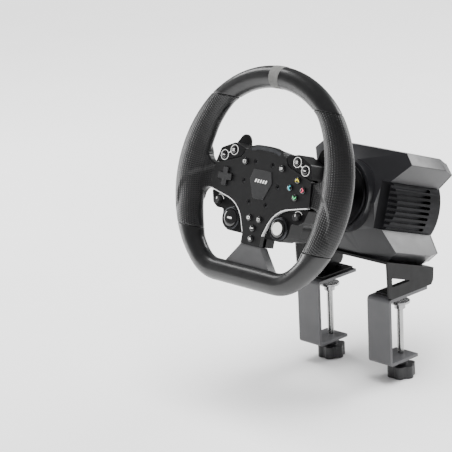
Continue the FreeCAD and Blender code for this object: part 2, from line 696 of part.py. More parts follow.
def build_buttons():
    """Every push button on the wheel."""
    made = []
    spacing = size("face_spacing")
    for name, (dx, dy) in FACE_DIRECTIONS.items():
        x = FACE_CENTRE[0] + dx * spacing
        made.append(plate_button("face_button_" + name, x, FACE_CENTRE[1] + dy * spacing))
    for name, (x, y) in COLUMN_BUTTONS.items():
        made.append(plate_button("column_button_" + name, x, y))
    for name, side in SIDES:
        made.append(plate_button("menu_button_" + name, side * MENU_BUTTONS[0], MENU_BUTTONS[1]))
        for row, (x, y) in POD_BUTTONS.items():
            made.append(pod_button("pod_button_%s_%s" % (name, row), side * x, y))
        made.append(round_button(name, side))
        made.append(side_dial(name, side))
    return made


def round_button(name, side):
    """Big domed button in the bezel of a lower pod."""
    radius = size("round_radius")
    deep = size("round_depth") - 1.6
    place = head_place(side * ROUND_CENTRE[0], ROUND_CENTRE[1], 0)
    return turned("round_button_" + name, place, [(0, -deep), (radius, -deep), (radius, 0.4, 1.2),
                                                  (0, 1.2)])


def side_dial(name, side):
    """Small knurled dial that turns on a shaft in a lower pod."""
    drop = size("lower_pod_drop")
    radius = size("dial_radius")
    shaft = size("dial_shaft")
    profile = [(0, -drop - 5.6), (shaft, -drop - 5.6), (shaft, -drop + 0.3), (radius, -drop + 0.3),
               (radius, 2.4, 0.8), (0, 2.4)]
    place = head_place(side * DIAL_CENTRE[0], DIAL_CENTRE[1], 0)
    body = turned("side_dial_" + name, place, profile)
    grooves = add_sketch(body, "XY_Plane", [], "-Sizes.lower_pod_drop")
    for number in range(12):
        angle = math.radians(30.0 * number)
        add_circle(grooves, (radius + 0.25) * math.cos(angle), (radius + 0.25) * math.sin(angle), "0.6")
    pocket(body, grooves, "Sizes.lower_pod_drop+3")
    return body


def build_direction_pad():
    """Cross-shaped pad that rocks on a small gimbal under the faceplate."""
    body = new_body("direction_pad", head_place(CROSS_CENTRE[0], CROSS_CENTRE[1], 0))
    cross = rounded_edges(cross_outline(size("cross_arm"), size("cross_half"), (0.0, 0.0)))
    pad(body, add_sketch(body, "XY_Plane", cross, "-Sizes.face_thick-0.4"), "Sizes.face_thick+2.2")
    stem = add_sketch(body, "XY_Plane", [], "-4.85")
    add_circle(stem, 0, 0, "2")
    pad(body, stem, "2")
    place = head_place(CROSS_CENTRE[0], CROSS_CENTRE[1], 0)
    disc = turned("gimbal_disc", place, [(0, -5.75), (3.2, -5.75), (3.2, -5.0), (0, -5.0)])
    pins = []
    for name, axis, start in (("x", Y_AXIS, V(-4.2, 0, -5.375)), ("y", X_AXIS * -1.0, V(0, -4.2, -5.375))):
        pin_place = place.multiply(FreeCAD.Placement(start, FreeCAD.Rotation(axis, 90)))
        pin = primitive("Cylinder", "gimbal_pin_" + name, pin_place, Radius="0.375")
        pin.Height = 8.4
        pins.append(pin)
    return [body, combine("MultiFuse", "pad_gimbal", Shapes=[disc] + pins)]


def build_paddles():
    """The two shift paddles, each a bent plate on a pin."""
    made = []
    plate = [(47.5, 32.0, 3.0), (57.0, 45.0, 2.0), (57.0, 51.0), (64.0, 61.5, 2.0),
             (80.0, 60.0, 4.0), (90.0, 36.0, 8.0), (90.0, -8.0, 6.0), (80.0, -26.0, 5.0),
             (62.0, -28.0, 5.0),
             (47.5, -16.0, 3.0)]
    reach = size("paddle_pin_x")
    for name, side in SIDES:
        body = new_body("paddle_plate_" + name, head_place())
        front = "-Sizes.paddle_front-Sizes.paddle_thick"
        pad(body, add_sketch(body, "XY_Plane", rounded_edges(flipped(plate, side)), front),
            "Sizes.paddle_thick")
        half = size("paddle_barrel_half")
        arm = flipped([(reach, half), (reach + 8.0, half), (reach + 8.0, -half), (reach, -half)], side)
        pad(body, add_sketch(body, "XY_Plane", rounded_edges(arm), front), "Sizes.paddle_thick")
        place = head_place(side * reach, -half, -paddle_axis_depth())
        place = place.multiply(FreeCAD.Placement(V(), FreeCAD.Rotation(X_AXIS, -90)))
        barrel = primitive("Cylinder", "barrel_" + name, place, Radius="Sizes.paddle_barrel",
                           Height="2*Sizes.paddle_barrel_half")
        bore = primitive("Cylinder", "bore_" + name, place, Radius="Sizes.paddle_pin+Sizes.running_gap",
                         Height="2*Sizes.paddle_barrel_half")
        solid = combine("Fuse", "paddle_solid_" + name, Base=body, Tool=barrel)
        made.append(combine("Cut", "paddle_" + name, Base=solid, Tool=bore))
    return made


# ---------------------------------------------------------------- quick release and motor

def build_axle():
    """Hub adapter, quick release, release collar and the motor's shaft with its magnets."""
    flange = size("adapter_flange")
    radius = size("adapter_radius")
    front = size("housing_back")
    back = size("adapter_back")
    place = head_place()
    adapter = turned("hub_adapter", place, [(0, -front), (flange, -front), (flange, -front - 4.0, 0.8),
                                            (radius, -front - 4.0), (radius, -back), (0, -back)])
    release = size("release_radius")
    tail = size("release_back")
    lock = turned("quick_release", place, [(0, -back), (release - 2.0, -back), (release, -back - 2.0),
                                           (release, -tail), (0, -tail)])
    inner = release + size("collar_gap")
    outer = size("collar_radius")
    near = size("collar_front")
    far = near + size("collar_length")
    middle = (near + far) / 2.0
    collar = turned("release_collar", place, [(inner, -near), (outer - 1.5, -near), (outer, -near - 1.5),
                                              (outer, -middle + 1.5), (outer - 1.5, -middle),
                                              (outer, -middle - 1.5), (outer, -far + 1.5),
                                              (outer - 1.5, -far), (inner, -far)])
    return [adapter, lock, collar, build_shaft()]


def build_shaft():
    """Motor shaft with its front flange and the drum of magnets."""
    shaft = size("shaft_radius")
    flange = size("shaft_flange")
    drum = size("stator_inner") - size("magnet_gap")
    front = size("release_back")
    step = front + size("shaft_flange_thick")
    near = size("motor_front") + 4.0
    far = size("base_back") - 14.0
    tail = size("base_back") - 2.0
    profile = [(0, -front), (flange, -front), (flange, -step, 0.8), (shaft, -step), (shaft, -near),
               (drum, -near),
               (drum, -far), (shaft, -far), (shaft, -tail), (0, -tail)]
    return turned("drive_shaft", head_place(), profile)


def ring(label, inner, outer, near, far):
    """A plain ring round the steering axis, between two depths."""
    profile = [(inner, -near), (outer, -near), (outer, -far), (inner, -far)]
    return turned(label, head_place(), profile)


def build_motor():
    """Stator and the two equal bearings of the motor."""
    stator = ring("motor_stator", size("stator_inner"), size("motor_radius"), size("motor_front") + 2.0,
                  size("base_back") - 14.0)
    inner = size("shaft_radius") + size("running_gap")
    outer = size("bearing_radius")
    width = size("bearing_width")
    near = size("motor_front") - width - 4.0
    far = size("base_back") - width
    races = [ring("bearing_front", inner, outer, near, near + width),
             ring("bearing_rear", inner, outer, far,
                                                                          far + width - 1.0)]
    return [stator, combine("Compound", "shaft_bearings", Links=races)]


# ---------------------------------------------------------------- base

def base_half_section():
    """Right half of the housing's cross-section, about the middle of the base."""
    half = size("base_half")
    corner = size("base_corner")
    tip = size("wing_tip")
    rise = size("wing_rise")
    wall = size("side_wall_x")
    recess = size("recess_half")
    upper = [(corner, half, 0.8), (tip, rise, 0.8), (size("recess_x"), recess, 0.5), (wall, recess)]
    lower = [(p[0], -p[1]) + tuple(p[2:]) for p in reversed(upper)]
    return [(0.0, half)] + upper + lower + [(0.0, -half)]


def facet_planes():
    """Point and normal of each plane that shapes the front and the back of the housing."""
    planes = []
    apex = V(0, 0, -size("apex_depth"))
    crest = V(0, size("base_half"), -CREST_DEPTH)
    rear = -size("rear_chamfer")
    for sy in (-1, 1):
        for sx in (-1, 1):
            planes.append((apex, V(FACET_SLOPE[0] * sx, FACET_SLOPE[1] * sy, 1)))
            planes.append((V(size("wing_tip") * sx, size("wing_rise") * sy, rear),
                           V(0.72 * sx, 0.69 * sy, -0.33)))
        planes.append((V(0, crest.y * sy, crest.z), V(0, CREST_SLOPE * sy, 1)))
        planes.append((V(0, crest.y * sy, rear), V(0, sy, -0.3)))
    return planes


def build_housing():
    """Faceted motor housing, hollow for the motor and open at the back."""
    back = -size("base_back")
    shell = prism(mirrored(base_half_section()), back, -size("apex_depth") + 5.0)
    for point, normal in facet_planes():
        shell = keep_below(shell, point, normal)
    shell.translate(V(0, -size("base_drop"), 0))
    neck_front = -size("neck_front")
    neck_length = size("motor_front") - size("neck_front")
    neck = Part.makeCylinder(size("neck_radius"), neck_length, V(0, 0, -size("motor_front")))
    shell = shell.fuse(neck).removeSplitter()
    shell = keep_below(shell, V(0, 0, neck_front), Z_AXIS)
    motor = Part.makeCylinder(size("motor_radius"), size("base_back") - size("motor_front"), V(0, 0, back))
    seat_depth = size("bearing_width") + 4.0
    seat = Part.makeCylinder(size("bearing_radius"), seat_depth + 1.0, V(0, 0, -size("motor_front")))
    seat_front = seat_depth - size("motor_front")
    bore = Part.makeCylinder(size("shaft_radius") + 2.0, 60.0, V(0, 0, seat_front))
    seat = keep_below(seat, V(0, 0, seat_front), Z_AXIS)
    shell = shell.cut(motor.fuse(seat).fuse(bore)).cut(vent_block(0.0))
    return shaped("base_housing", shell, head_place())


def vent_block(gap):
    """Block of the grille panel, let into the top of the housing."""
    half = size("vent_half") - gap
    top = size("base_half") - size("base_drop")
    length = size("vent_back") - size("vent_front") - 2.0 * gap
    corner = V(-half, top - size("vent_thick"), -size("vent_back") + gap)
    return Part.makeBox(2.0 * half, size("vent_thick"), length, corner)


def build_vent_panel():
    """Grille panel on top of the base with its rows of slots."""
    panel = vent_block(size("panel_gap"))
    rows = 6
    pitch = (size("vent_back") - size("vent_front")) / (rows + 1)
    for row in range(rows):
        z = -size("vent_front") - pitch * (row + 1)
        for side in (-1, 1):
            low = 2.0 if side > 0 else -size("vent_half") + 4.0
            slot = Part.makeBox(size("vent_half") - 6.0, 10.0, pitch * 0.45,
                                V(low, size("base_half") - size("base_drop") - 5.0, z - pitch * 0.225))
            panel = panel.cut(slot)
    return shaped("top_vent_panel", panel, head_place())


def build_fin_panels():
    """Curved cooling panels in the side recesses, slotted by a row of round-nosed grooves."""
    made = []
    back = -size("base_back") - size("cover_thick")
    radius = size("fin_radius")
    half = size("recess_half") - size("panel_gap")
    inner = size("side_wall_x") + size("panel_gap")
    for name, side in SIDES:
        round_bar = Part.makeCylinder(radius, -back - 150.0, V(0, 0, back))
        block = Part.makeBox(radius, 2.0 * half, -back - 150.0, V(inner, -half, back))
        panel = round_bar.common(block)
        panel = keep_below(panel, V(45.0, 0, -153.0), V(0.745, 0, 0.667))
        panel = panel.cut(fin_cutters())
        if side < 0:
            panel = panel.mirror(V(), X_AXIS)
        made.append(shaped("fin_panel_" + name, panel, head_place(0, -size("base_drop"))))
    return made


def fin_cutters():
    """The eight round-nosed grooves of one panel."""
    tools = []
    slot = size("fin_slot")
    low_x = size("fin_radius") - size("fin_depth")
    length = size("fin_back") - size("fin_front")
    for number in range(8):
        y = (number - 3.5) * size("fin_pitch")
        tools.append(Part.makeBox(40.0, slot, length, V(low_x, y - slot / 2.0, -size("fin_back"))))
        for z in (-size("fin_front"), -size("fin_back")):
            tools.append(Part.makeCylinder(slot / 2.0, 40.0, V(low_x, y, z), X_AXIS))
    return Part.makeCompound(tools)


def build_rear_cover():
    """Rear cover plate with its boss for the rear bearing and the openings for the sockets."""
    back = -size("base_back")
    inset = 4.5
    outline = [(max(p[0] - inset, 0.0), p[1] - math.copysign(inset, p[1])) for p in base_half_section()
               if p[0] > size("side_wall_x") or p[0] == 0.0]
    cover = prism(mirrored(outline), back - size("cover_thick"), back)
    side = size("side_wall_x")
    recess = size("recess_half")
    width = size("wing_tip")
    for sign in (-1, 1):
        corner = V(side if sign > 0 else -side - width, -recess, back - 20.0)
        cover = cover.cut(Part.makeBox(width, 2.0 * recess, 40.0, corner))
    cover.translate(V(0, -size("base_drop"), 0))
    boss = Part.makeCylinder(size("bearing_radius") + 4.0, size("bearing_width"), V(0, 0, back))
    seat = Part.makeCylinder(size("bearing_radius"), size("bearing_width"), V(0, 0, back + 1.0))
    cover = cover.fuse(boss).cut(seat)
    for _name, x, y, half_width, half_height in socket_places():
        hole = Part.makeBox(2.0 * half_width, 2.0 * half_height, 40.0,
                            V(x - half_width, y - half_height, back - 20.0))
        cover = cover.cut(hole)
    bore = Part.makeCylinder(size("power_radius") + size("button_gap"), 40.0,
                             V(0, size("power_rise") + 12.0, back - 20))
    for x, y in cover_screw_centres():
        bore = bore.fuse(Part.makeCylinder(1.6, 40.0, V(x, y, back - 20.0)))
    return shaped("base_rear_cover", cover.cut(bore), head_place())


def socket_places():
    """Name, centre and half sizes of each socket on the rear cover."""
    row = -size("base_half") + size("base_drop") + 12.0
    return [("power", -36.0, row, 6.5, 6.5), ("pedals", -16.0, row, 6.5, 5.5),
            ("handbrake", 2.0, row, 6.5, 5.5),
            ("stop", 20.0, row, 6.5, 5.5), ("data", 38.0, row, 6.0, 5.5)]


def cover_screw_centres():
    """Four screws at the corners of the rear cover."""
    return [(x, y - size("base_drop")) for x in (-60.0, 60.0) for y in (-52.0, 52.0)]


def build_sockets():
    """Hollow socket shells that sit in the openings of the rear cover."""
    shells = []
    back = -size("base_back") - size("cover_thick") - 1.0
    depth = size("cover_thick") + 1.0
    for name, x, y, half_width, half_height in socket_places():
        shell = Part.makeBox(2.0 * half_width, 2.0 * half_height, depth,
                             V(x - half_width, y - half_height, back))
        if name == "power":
            shell = shell.cut(Part.makeCylinder(4.2, 4.0, V(x, y, back)))
            shell = shell.fuse(Part.makeCylinder(1.0, 4.0, V(x, y, back)))
        else:
            mouth = Part.makeBox(2.0 * half_width - 3.0, 2.0 * half_height - 4.0, 4.0,
                                 V(x - half_width + 1.5, y - half_height + 2.0, back))
            shell = shell.cut(mouth)
        shells.append(shell)
    return shaped("rear_sockets", Part.makeCompound(shells), head_place())


def build_power_button():
    """Push switch on the rear cover, facing backwards."""
    radius = size("power_radius")
    back = size("base_back")
    outer = back + size("cover_thick") + size("power_travel") + 0.5
    profile = [(0, -outer), (radius, -outer, 0.8), (radius, -back + 1.0), (0, -back + 1.0)]
    return turned("power_button", head_place(0, size("power_rise") + 12.0, 0), profile)


def build_base_screws():
    """Screws of the rear cover and of the bracket, all of one kind."""
    made = []
    back = -size("base_back") - size("cover_thick")
    for number, (x, y) in enumerate(cover_screw_centres()):
        head = primitive("Cylinder", "cover_head_%d" % number, head_place(x, y, back - 1.6), Radius="2.8",
                         Height="1.6")
        shank = primitive("Cylinder", "cover_shank_%d" % number, head_place(x, y, back), Radius="1.6",
                          Height="Sizes.cover_thick")
        made.append(combine("Fuse", "cover_screw_%d" % number, Base=head, Tool=shank))
    for number, (x, y) in enumerate(flange_screw_centres()):
        low = FreeCAD.Placement(V(x, y, size("clamp_sheet") + size("bracket_sheet")), FreeCAD.Rotation())
        base = FreeCAD.Placement(V(x, y, 0), FreeCAD.Rotation())
        head = primitive("Cylinder", "flange_head_%d" % number, low, Radius="Sizes.bracket_screw_head",
                         Height="2.4")
        shank = primitive("Cylinder", "flange_shank_%d" % number, base, Radius="Sizes.bracket_screw",
                          Height="Sizes.clamp_sheet+Sizes.bracket_sheet")
        made.append(combine("Fuse", "flange_screw_%d" % number, Base=head, Tool=shank))
    return combine("Compound", "base_screws", Links=made)


# ---------------------------------------------------------------- bracket and clamps

def flange_screw_centres():
    """Screws through the bracket's feet into the clamp jaws."""
    x = size("bracket_half") - size("clamp_width") / 2.0
    return [(side * x, y) for _name, side in SIDES for y in (22.0, 56.0)]


def side_plate_outline():
    """Side plate of the bracket in the YZ plane, between the clamp jaw and the base."""
    top = -size("base_half") - size("base_drop")
    front = head_to_row(top, -size("bracket_front"))
    rear = head_to_row(top, -size("bracket_back"))
    low = size("clamp_sheet")
    return [(front[0], front[1]), (rear[0], rear[1], 3.0), (rear[0] - 1.2, low + 5.5, 2.0),
            (rear[0] - 5.0, low, 1.0),
            (1.0, low), (-3.5, low + 3.0, 2.0)]


def build_bracket():
    """Bent sheet bracket: sloping top plate, two side plates and two feet."""
    sheet_thick = "Sizes.bracket_sheet"
    plates = []
    half = size("bracket_half")
    thick = size("bracket_sheet")
    for name, side in SIDES:
        body = new_body("side_plate_" + name)
        start = half - thick if side > 0 else -half
        sketch = add_sketch(body, "YZ_Plane", rounded_edges(side_plate_outline()), "%f" % start)
        pad(body, sketch, sheet_thick)
        window = rounded_edges([(2.5, 19.5, 0.6), (38.0, 19.5, 0.6), (2.5, 31.0, 0.6)])
        pocket(body, add_sketch(body, "YZ_Plane", window, "%f" % start), sheet_thick)
        foot = primitive("Box", "foot_" + name, FreeCAD.Placement(), Height=sheet_thick)
        foot.Length = size("clamp_width") - 4.0
        foot.Width = size("jaw_depth") - 10.0
        foot.Placement.Base = V(side * half - (foot.Length.Value if side > 0 else 0.0), 8.0,
                                size("clamp_sheet"))
        plates += [body, foot]
    top = -size("base_half") - size("base_drop") - thick
    place = head_place(-half, top, -size("bracket_back"))
    deck = primitive("Box", "deck", place, Length="2*Sizes.bracket_half", Width=sheet_thick,
                     Height="Sizes.bracket_back-Sizes.bracket_front")
    solid = combine("MultiFuse", "bracket_solid", Shapes=plates + [deck])
    shanks = []
    for x, y in flange_screw_centres():
        shanks.append(primitive("Cylinder", "foot_hole", FreeCAD.Placement(V(x, y, 0), FreeCAD.Rotation()),
                                Radius="Sizes.bracket_screw", Height="20"))
    drill = combine("Compound", "foot_holes", Links=shanks)
    return combine("Cut", "mounting_bracket", Base=solid, Tool=drill)


def clamp_centre(side):
    """X of the middle of a clamp."""
    return side * (size("bracket_half") - size("clamp_width") / 2.0)


def build_clamp_frames():
    """The two C-shaped clamp frames, each one bent strip with a tapped hole in its lower arm."""
    made = []
    sheet_thick = size("clamp_sheet")
    bend = size("clamp_bend")
    drop = size("clamp_drop")
    front = -sheet_thick
    reach = size("clamp_depth") - sheet_thick
    jaw = size("jaw_depth")
    inner = bend - sheet_thick
    outline = [(jaw, sheet_thick), (front, sheet_thick, bend), (front, -drop, bend), (reach, -drop),
               (reach, -drop + sheet_thick), (0, -drop + sheet_thick, inner), (0, 0, inner), (jaw, 0)]
    for name, side in SIDES:
        body = new_body("clamp_frame_" + name)
        start = clamp_centre(side) - size("clamp_width") / 2.0
        sketch = add_sketch(body, "YZ_Plane", rounded_edges(outline), "%f" % start)
        pad(body, sketch, "Sizes.clamp_width")
        holes(body, [(clamp_centre(side), size("rod_inset"))], "Sizes.rod_radius+Sizes.running_gap",
              "-Sizes.clamp_drop", "Sizes.clamp_sheet")
        centres = [c for c in flange_screw_centres() if c[0] * side > 0]
        holes(body, centres, "Sizes.bracket_screw", "0", "Sizes.clamp_sheet")
        made.append(body)
    return made


def build_clamp_screws():
    """Clamp pads, threaded rods and star knobs on both sides."""
    made = []
    for name, side in SIDES:
        place = FreeCAD.Placement(V(clamp_centre(side), size("rod_inset"), 0), FreeCAD.Rotation())
        made.append(clamp_pad(name, place))
        made.append(clamp_rod(name, place))
        made.append(star_knob(name, place))
    return made


def clamp_pad(name, place):
    """Round pressure pad that swivels on the end of the rod."""
    top = -size("pad_top")
    under = top - size("pad_thick")
    low = under - size("pad_boss_length")
    socket = size("rod_radius") - 1.0 + size("running_gap")
    boss = size("pad_boss")
    radius = size("pad_radius")
    profile = [(0, top), (radius, top, 0.8), (radius, under, 0.8), (boss, under), (boss, low),
               (socket, low),
               (socket, under - 1.0), (0, under - 1.0)]
    return turned("clamp_pad_" + name, place, profile)


def clamp_rod(name, place):
    """Threaded rod with a turned-down end in the pad."""
    low = -size("pad_top") - size("pad_thick") - size("pad_boss_length")
    radius = size("rod_radius")
    tip = radius - 1.0
    end = -size("clamp_drop") - size("knob_gap") - size("knob_hub_length") - size("knob_length") + 2.0
    profile = [(0, low + 5.6), (tip, low + 5.6), (tip, low - 0.3), (radius, low - 0.3), (radius, end),
               (0, end)]
    return turned("clamp_screw_" + name, place, profile)


def star_knob(name, place):
    """Six-lobed knob moulded round the lower end of the rod."""
    body = new_body("star_knob_" + name, place)
    top = "-Sizes.clamp_drop-Sizes.knob_gap"
    low = top + "-Sizes.knob_hub_length-Sizes.knob_length"
    core = add_sketch(body, "XY_Plane", [], low)
    add_circle(core, 0, 0, "Sizes.knob_radius-3")
    pad(body, core, "Sizes.knob_length")
    ring_radius = size("knob_radius") - size("knob_lobe")
    for number in range(6):
        angle = math.radians(60.0 * number)
        lobe = add_sketch(body, "XY_Plane", [], low)
        add_circle(lobe, ring_radius * math.cos(angle), ring_radius * math.sin(angle), "Sizes.knob_lobe")
        pad(body, lobe, "Sizes.knob_length")
    hub = add_sketch(body, "XY_Plane", [], low)
    add_circle(hub, 0, 0, "Sizes.knob_hub")
    pad(body, hub, "Sizes.knob_length+Sizes.knob_hub_length")
    holes(body, [(0, 0)], "Sizes.rod_radius", low + "+2", "Sizes.knob_length+Sizes.knob_hub_length")
    return body


# ---------------------------------------------------------------- assembly

def build_all():
    """Every sub-part of the racing wheel."""
    frame = build_wheel_frame()
    face = build_faceplate()
    housing = build_hub_housing()
    wrap = build_lower_rim(frame)
    pods = build_lower_pods()
    base = build_housing()
    parts = [frame, face]
    parts += build_upper_rim(frame) + [wrap] + build_grips(frame, housing)
    parts += [build_lower_spoke(frame, wrap), build_badge(), build_light_guides(),
              build_hub_screws()] + pods
    parts += build_buttons() + build_direction_pad() + build_paddles()
    parts += build_axle() + build_motor()
    neck = ring("neck_ring", size("shaft_radius") + 5.0, size("neck_radius") - 3.0,
                size("neck_front") - size("ring_length"), size("neck_front"))
    parts += [base, neck, build_vent_panel()] + build_fin_panels()
    parts += [build_rear_cover(), build_sockets(), build_power_button(), build_base_screws()]
    parts += [build_bracket()] + build_clamp_frames() + build_clamp_screws()
    return parts + [housing]


def check_document():
    """Stop when any object of the document failed to compute."""
    doc.recompute()
    for item in doc.Objects:
        if any(state in ("Invalid", "Error") for state in item.State):
            raise RuntimeError("%s is %s" % (item.Label, item.State))


def node_name(item):
    """File name of a sub-part; the housing's fused shell carries the housing's name."""
    return {"hub_housing_shell": "hub_housing"}.get(item.Label, item.Label)


def export_parts(parts):
    """Write one STEP file for each sub-part, once every shape is known to be sound."""
    for item in parts:
        if item.Shape.isNull() or not item.Shape.isValid() or item.Shape.Volume <= 0.0:
            raise RuntimeError("bad shape in " + item.Label)
    os.makedirs("parts", exist_ok=True)
    for item in parts:
        item.Shape.exportStep("parts/%s.step" % node_name(item))


built = build_all()
check_document()
export_parts(built)
print("%d sub-parts written" % len(built))
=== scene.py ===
import json
import logging
import math
from dataclasses import dataclass, field
from enum import Enum

import bmesh
import bpy
import numpy as np
from mathutils import Matrix, Vector


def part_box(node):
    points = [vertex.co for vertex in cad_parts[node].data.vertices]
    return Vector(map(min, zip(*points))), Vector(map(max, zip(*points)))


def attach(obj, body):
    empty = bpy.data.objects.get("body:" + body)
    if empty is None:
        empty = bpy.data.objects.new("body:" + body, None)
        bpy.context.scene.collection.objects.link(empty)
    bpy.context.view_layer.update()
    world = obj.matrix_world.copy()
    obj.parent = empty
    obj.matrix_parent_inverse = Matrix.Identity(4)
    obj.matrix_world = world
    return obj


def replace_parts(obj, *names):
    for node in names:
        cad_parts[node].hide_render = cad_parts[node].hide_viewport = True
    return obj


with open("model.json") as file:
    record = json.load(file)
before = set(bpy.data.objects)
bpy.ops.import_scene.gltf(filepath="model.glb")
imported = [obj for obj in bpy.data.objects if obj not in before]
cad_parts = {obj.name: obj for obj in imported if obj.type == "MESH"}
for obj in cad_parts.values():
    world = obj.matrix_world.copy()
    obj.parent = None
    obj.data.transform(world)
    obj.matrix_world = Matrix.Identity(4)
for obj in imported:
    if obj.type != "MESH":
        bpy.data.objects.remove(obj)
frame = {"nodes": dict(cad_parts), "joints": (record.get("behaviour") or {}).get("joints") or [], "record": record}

# Looks of the racing wheel: leather rim, button box, motor base, bracket and desk clamps.
#
# Lengths inside the classes are in millimetres, in the head frame of the steering axis, and become
# metres when a mesh is made. The studio is in metres.

LOG = logging.getLogger("racing_wheel")
MM = 0.001
WRAP_LAYER = "wrap"
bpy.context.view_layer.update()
BODIES = frame["record"]["behaviour"]["bodies"]
BODY_OF = {node: body for body, nodes in BODIES.items() for node in nodes}


class Side(Enum):
    """Hand of a mirrored piece, with the sign of its X."""

    LEFT = -1
    RIGHT = 1

    @property
    def word(self) -> str:
        """Lower-case name used in node names."""
        return self.name.lower()


class Icon(Enum):
    """Generic marks printed on the button caps."""

    RING = "ring"
    BAR = "bar"
    DISC = "disc"
    TRIANGLE = "triangle"
    BARS = "bars"
    SQUARE = "square"
    UP = "up"
    LEFT = "left"
    RIGHT = "right"
    DOWN = "down"


# ---------------------------------------------------------------- frames of reference

def head_matrix() -> Matrix:
    """Matrix from head millimetres to row metres, read from the steering joint.

    Returns:
        A matrix whose z axis is the steering axis, pointing at the driver.
    """
    joint = next(item for item in frame["joints"] if item["name"] == "steering")
    z_axis = Vector(joint["axis"]).normalized()
    if z_axis.y > 0:
        z_axis = -z_axis
    x_axis = Vector((1.0, 0.0, 0.0))
    y_axis = z_axis.cross(x_axis)
    turn = Matrix((x_axis, y_axis, z_axis)).transposed().to_4x4()
    return Matrix.Translation(Vector(joint["pos_m"])) @ turn @ Matrix.Scale(MM, 4)


HEAD = head_matrix()


# ---------------------------------------------------------------- materials

def linear(code: str) -> tuple[float, float, float, float]:
    """Turn an sRGB colour to linear.

    Args:
        code: Hex colour such as "#2A2A2B".

    Returns:
        Linear red, green, blue and alpha.
    """
    values = [int(code[i:i + 2], 16) / 255.0 for i in (1, 3, 5)]
    return tuple(v / 12.92 if v <= 0.04045 else ((v + 0.055) / 1.055) ** 2.4
                 for v in values) + (1.0,)


class Graph:
    """Shader graph of one material, ending in a Principled surface."""

    def __init__(self, name: str) -> None:
        """Start an empty graph for a new material.

        Args:
            name: Name of the material.
        """
        self.material = bpy.data.materials.new(name)
        self.material.use_nodes = True
        self.tree = self.material.node_tree
        self.tree.nodes.clear()

    def add(self, kind: str, settings: dict | None = None,
            links: dict | None = None) -> bpy.types.Node:
        """Add one node.

        Args:
            kind: Node type without its "ShaderNode" prefix.
            settings: Property names (lower case) or input names with their values.
            links: Input names or indices with the output socket that feeds each.

        Returns:
            The new node.
        """
        node = self.tree.nodes.new("ShaderNode" + kind)
        for key, value in (settings or {}).items():
            if isinstance(key, str) and key[0].islower():
                setattr(node, key, value)
            else:
                node.inputs[key].default_value = value
        for key, source in (links or {}).items():
            self.tree.links.new(source, node.inputs[key])
        return node

    def close(self, surface: bpy.types.Node) -> bpy.types.Material:
        """Connect the surface to the output and return the material."""
        self.add("OutputMaterial", links={"Surface": surface.outputs[0]})
        return self.material


PER_METRE = 1000.0
COAT_ROUGHNESS = 0.08
# Places of the two tones in the mottle, and size of the gloss patches as a share of the mottle.
TONE_STOPS = (0.32, 0.68)
GLOSS_DRIFT = 0.4
# Pointiness where wear begins and where it is full, and the most of the worn colour that shows.
EDGE_WEAR = (0.53, 0.62, 0.55)
# Sockets of a colour Mix node.
MIX_FACTOR, MIX_FIRST, MIX_SECOND, MIX_RESULT = 0, 6, 7, 2


@dataclass(frozen=True)
class Finish:
    """A surface finish with slow colour drift, uneven gloss and fine relief.

    Colours are sRGB. The gloss is the lowest and the highest roughness. The grain is the size and
    the height of the finest relief; where the real one is finer than about 0.25 mm, it is drawn
    that coarse so that it still shows.
    """

    name: str
    slot: str
    colour: str
    shade: str
    gloss: tuple[float, float]
    grain_mm: float = 0.35
    height_mm: float = 0.02
    mottle_mm: float = 14.0
    metallic: float = 0.0
    ior: float = 1.5
    coat: float = 0.0
    specular: float = 0.5
    worn: str = ""

    def place(self, graph: Graph) -> bpy.types.NodeSocket:
        """Coordinates in metres of the piece itself."""
        return graph.add("TexCoord").outputs["Object"]

    def noise(self, graph: Graph, where: bpy.types.NodeSocket, size_mm: float,
              detail: float = 3.0) -> bpy.types.NodeSocket:
        """Noise whose features have a real size in millimetres."""
        settings = {"Scale": PER_METRE / size_mm, "Detail": detail}
        return graph.add("TexNoise", settings, {"Vector": where}).outputs[0]

    def tint(self, graph: Graph, where: bpy.types.NodeSocket) -> bpy.types.NodeSocket:
        """Base colour: two close tones, and a paler one on convex edges where the finish wears.

        Args:
            graph: The material's graph.
            where: Coordinates of the surface.

        Returns:
            The colour.
        """
        ramp = graph.add("ValToRGB", links={"Fac": self.noise(graph, where, self.mottle_mm)})
        tones = zip(ramp.color_ramp.elements, TONE_STOPS, (self.shade, self.colour))
        for element, position, tone in tones:
            element.position = position
            element.color = linear(tone)
        if not self.worn:
            return ramp.outputs["Color"]
        first, full, most = EDGE_WEAR
        edge = graph.add("MapRange", {"From Min": first, "From Max": full, "To Max": most},
                         {"Value": graph.add("NewGeometry").outputs["Pointiness"]})
        mix = graph.add("Mix", {"data_type": "RGBA"},
                        {MIX_FACTOR: edge.outputs[0], MIX_FIRST: ramp.outputs["Color"]})
        mix.inputs[MIX_SECOND].default_value = linear(self.worn)
        return mix.outputs[MIX_RESULT]

    def relief(self, graph: Graph, where: bpy.types.NodeSocket) -> bpy.types.NodeSocket:
        """Normal of the fine grain."""
        height = self.noise(graph, where, self.grain_mm, 2.0)
        return graph.add("Bump", {"Distance": self.height_mm * MM}, {"Height": height}).outputs[0]

    def build(self) -> bpy.types.Material:
        """Make the material.

        Returns:
            A Principled material named for its real counterpart.
        """
        graph = Graph(self.name)
        where = self.place(graph)
        drift = self.noise(graph, where, self.mottle_mm * GLOSS_DRIFT, 4.0)
        least, most = self.gloss
        spread = {"From Min": 0.3, "From Max": 0.7, "To Min": least, "To Max": most}
        rough = graph.add("MapRange", spread, {"Value": drift})
        settings = {"Metallic": self.metallic, "Coat Weight": self.coat,
                    "Coat Roughness": COAT_ROUGHNESS, "Specular IOR Level": self.specular}
        if self.metallic < 0.5:
            settings["IOR"] = self.ior
        surface = graph.add("BsdfPrincipled", settings,
                            {"Base Color": self.tint(graph, where), "Roughness": rough.outputs[0],
                             "Normal": self.relief(graph, where)})
        return graph.close(surface)


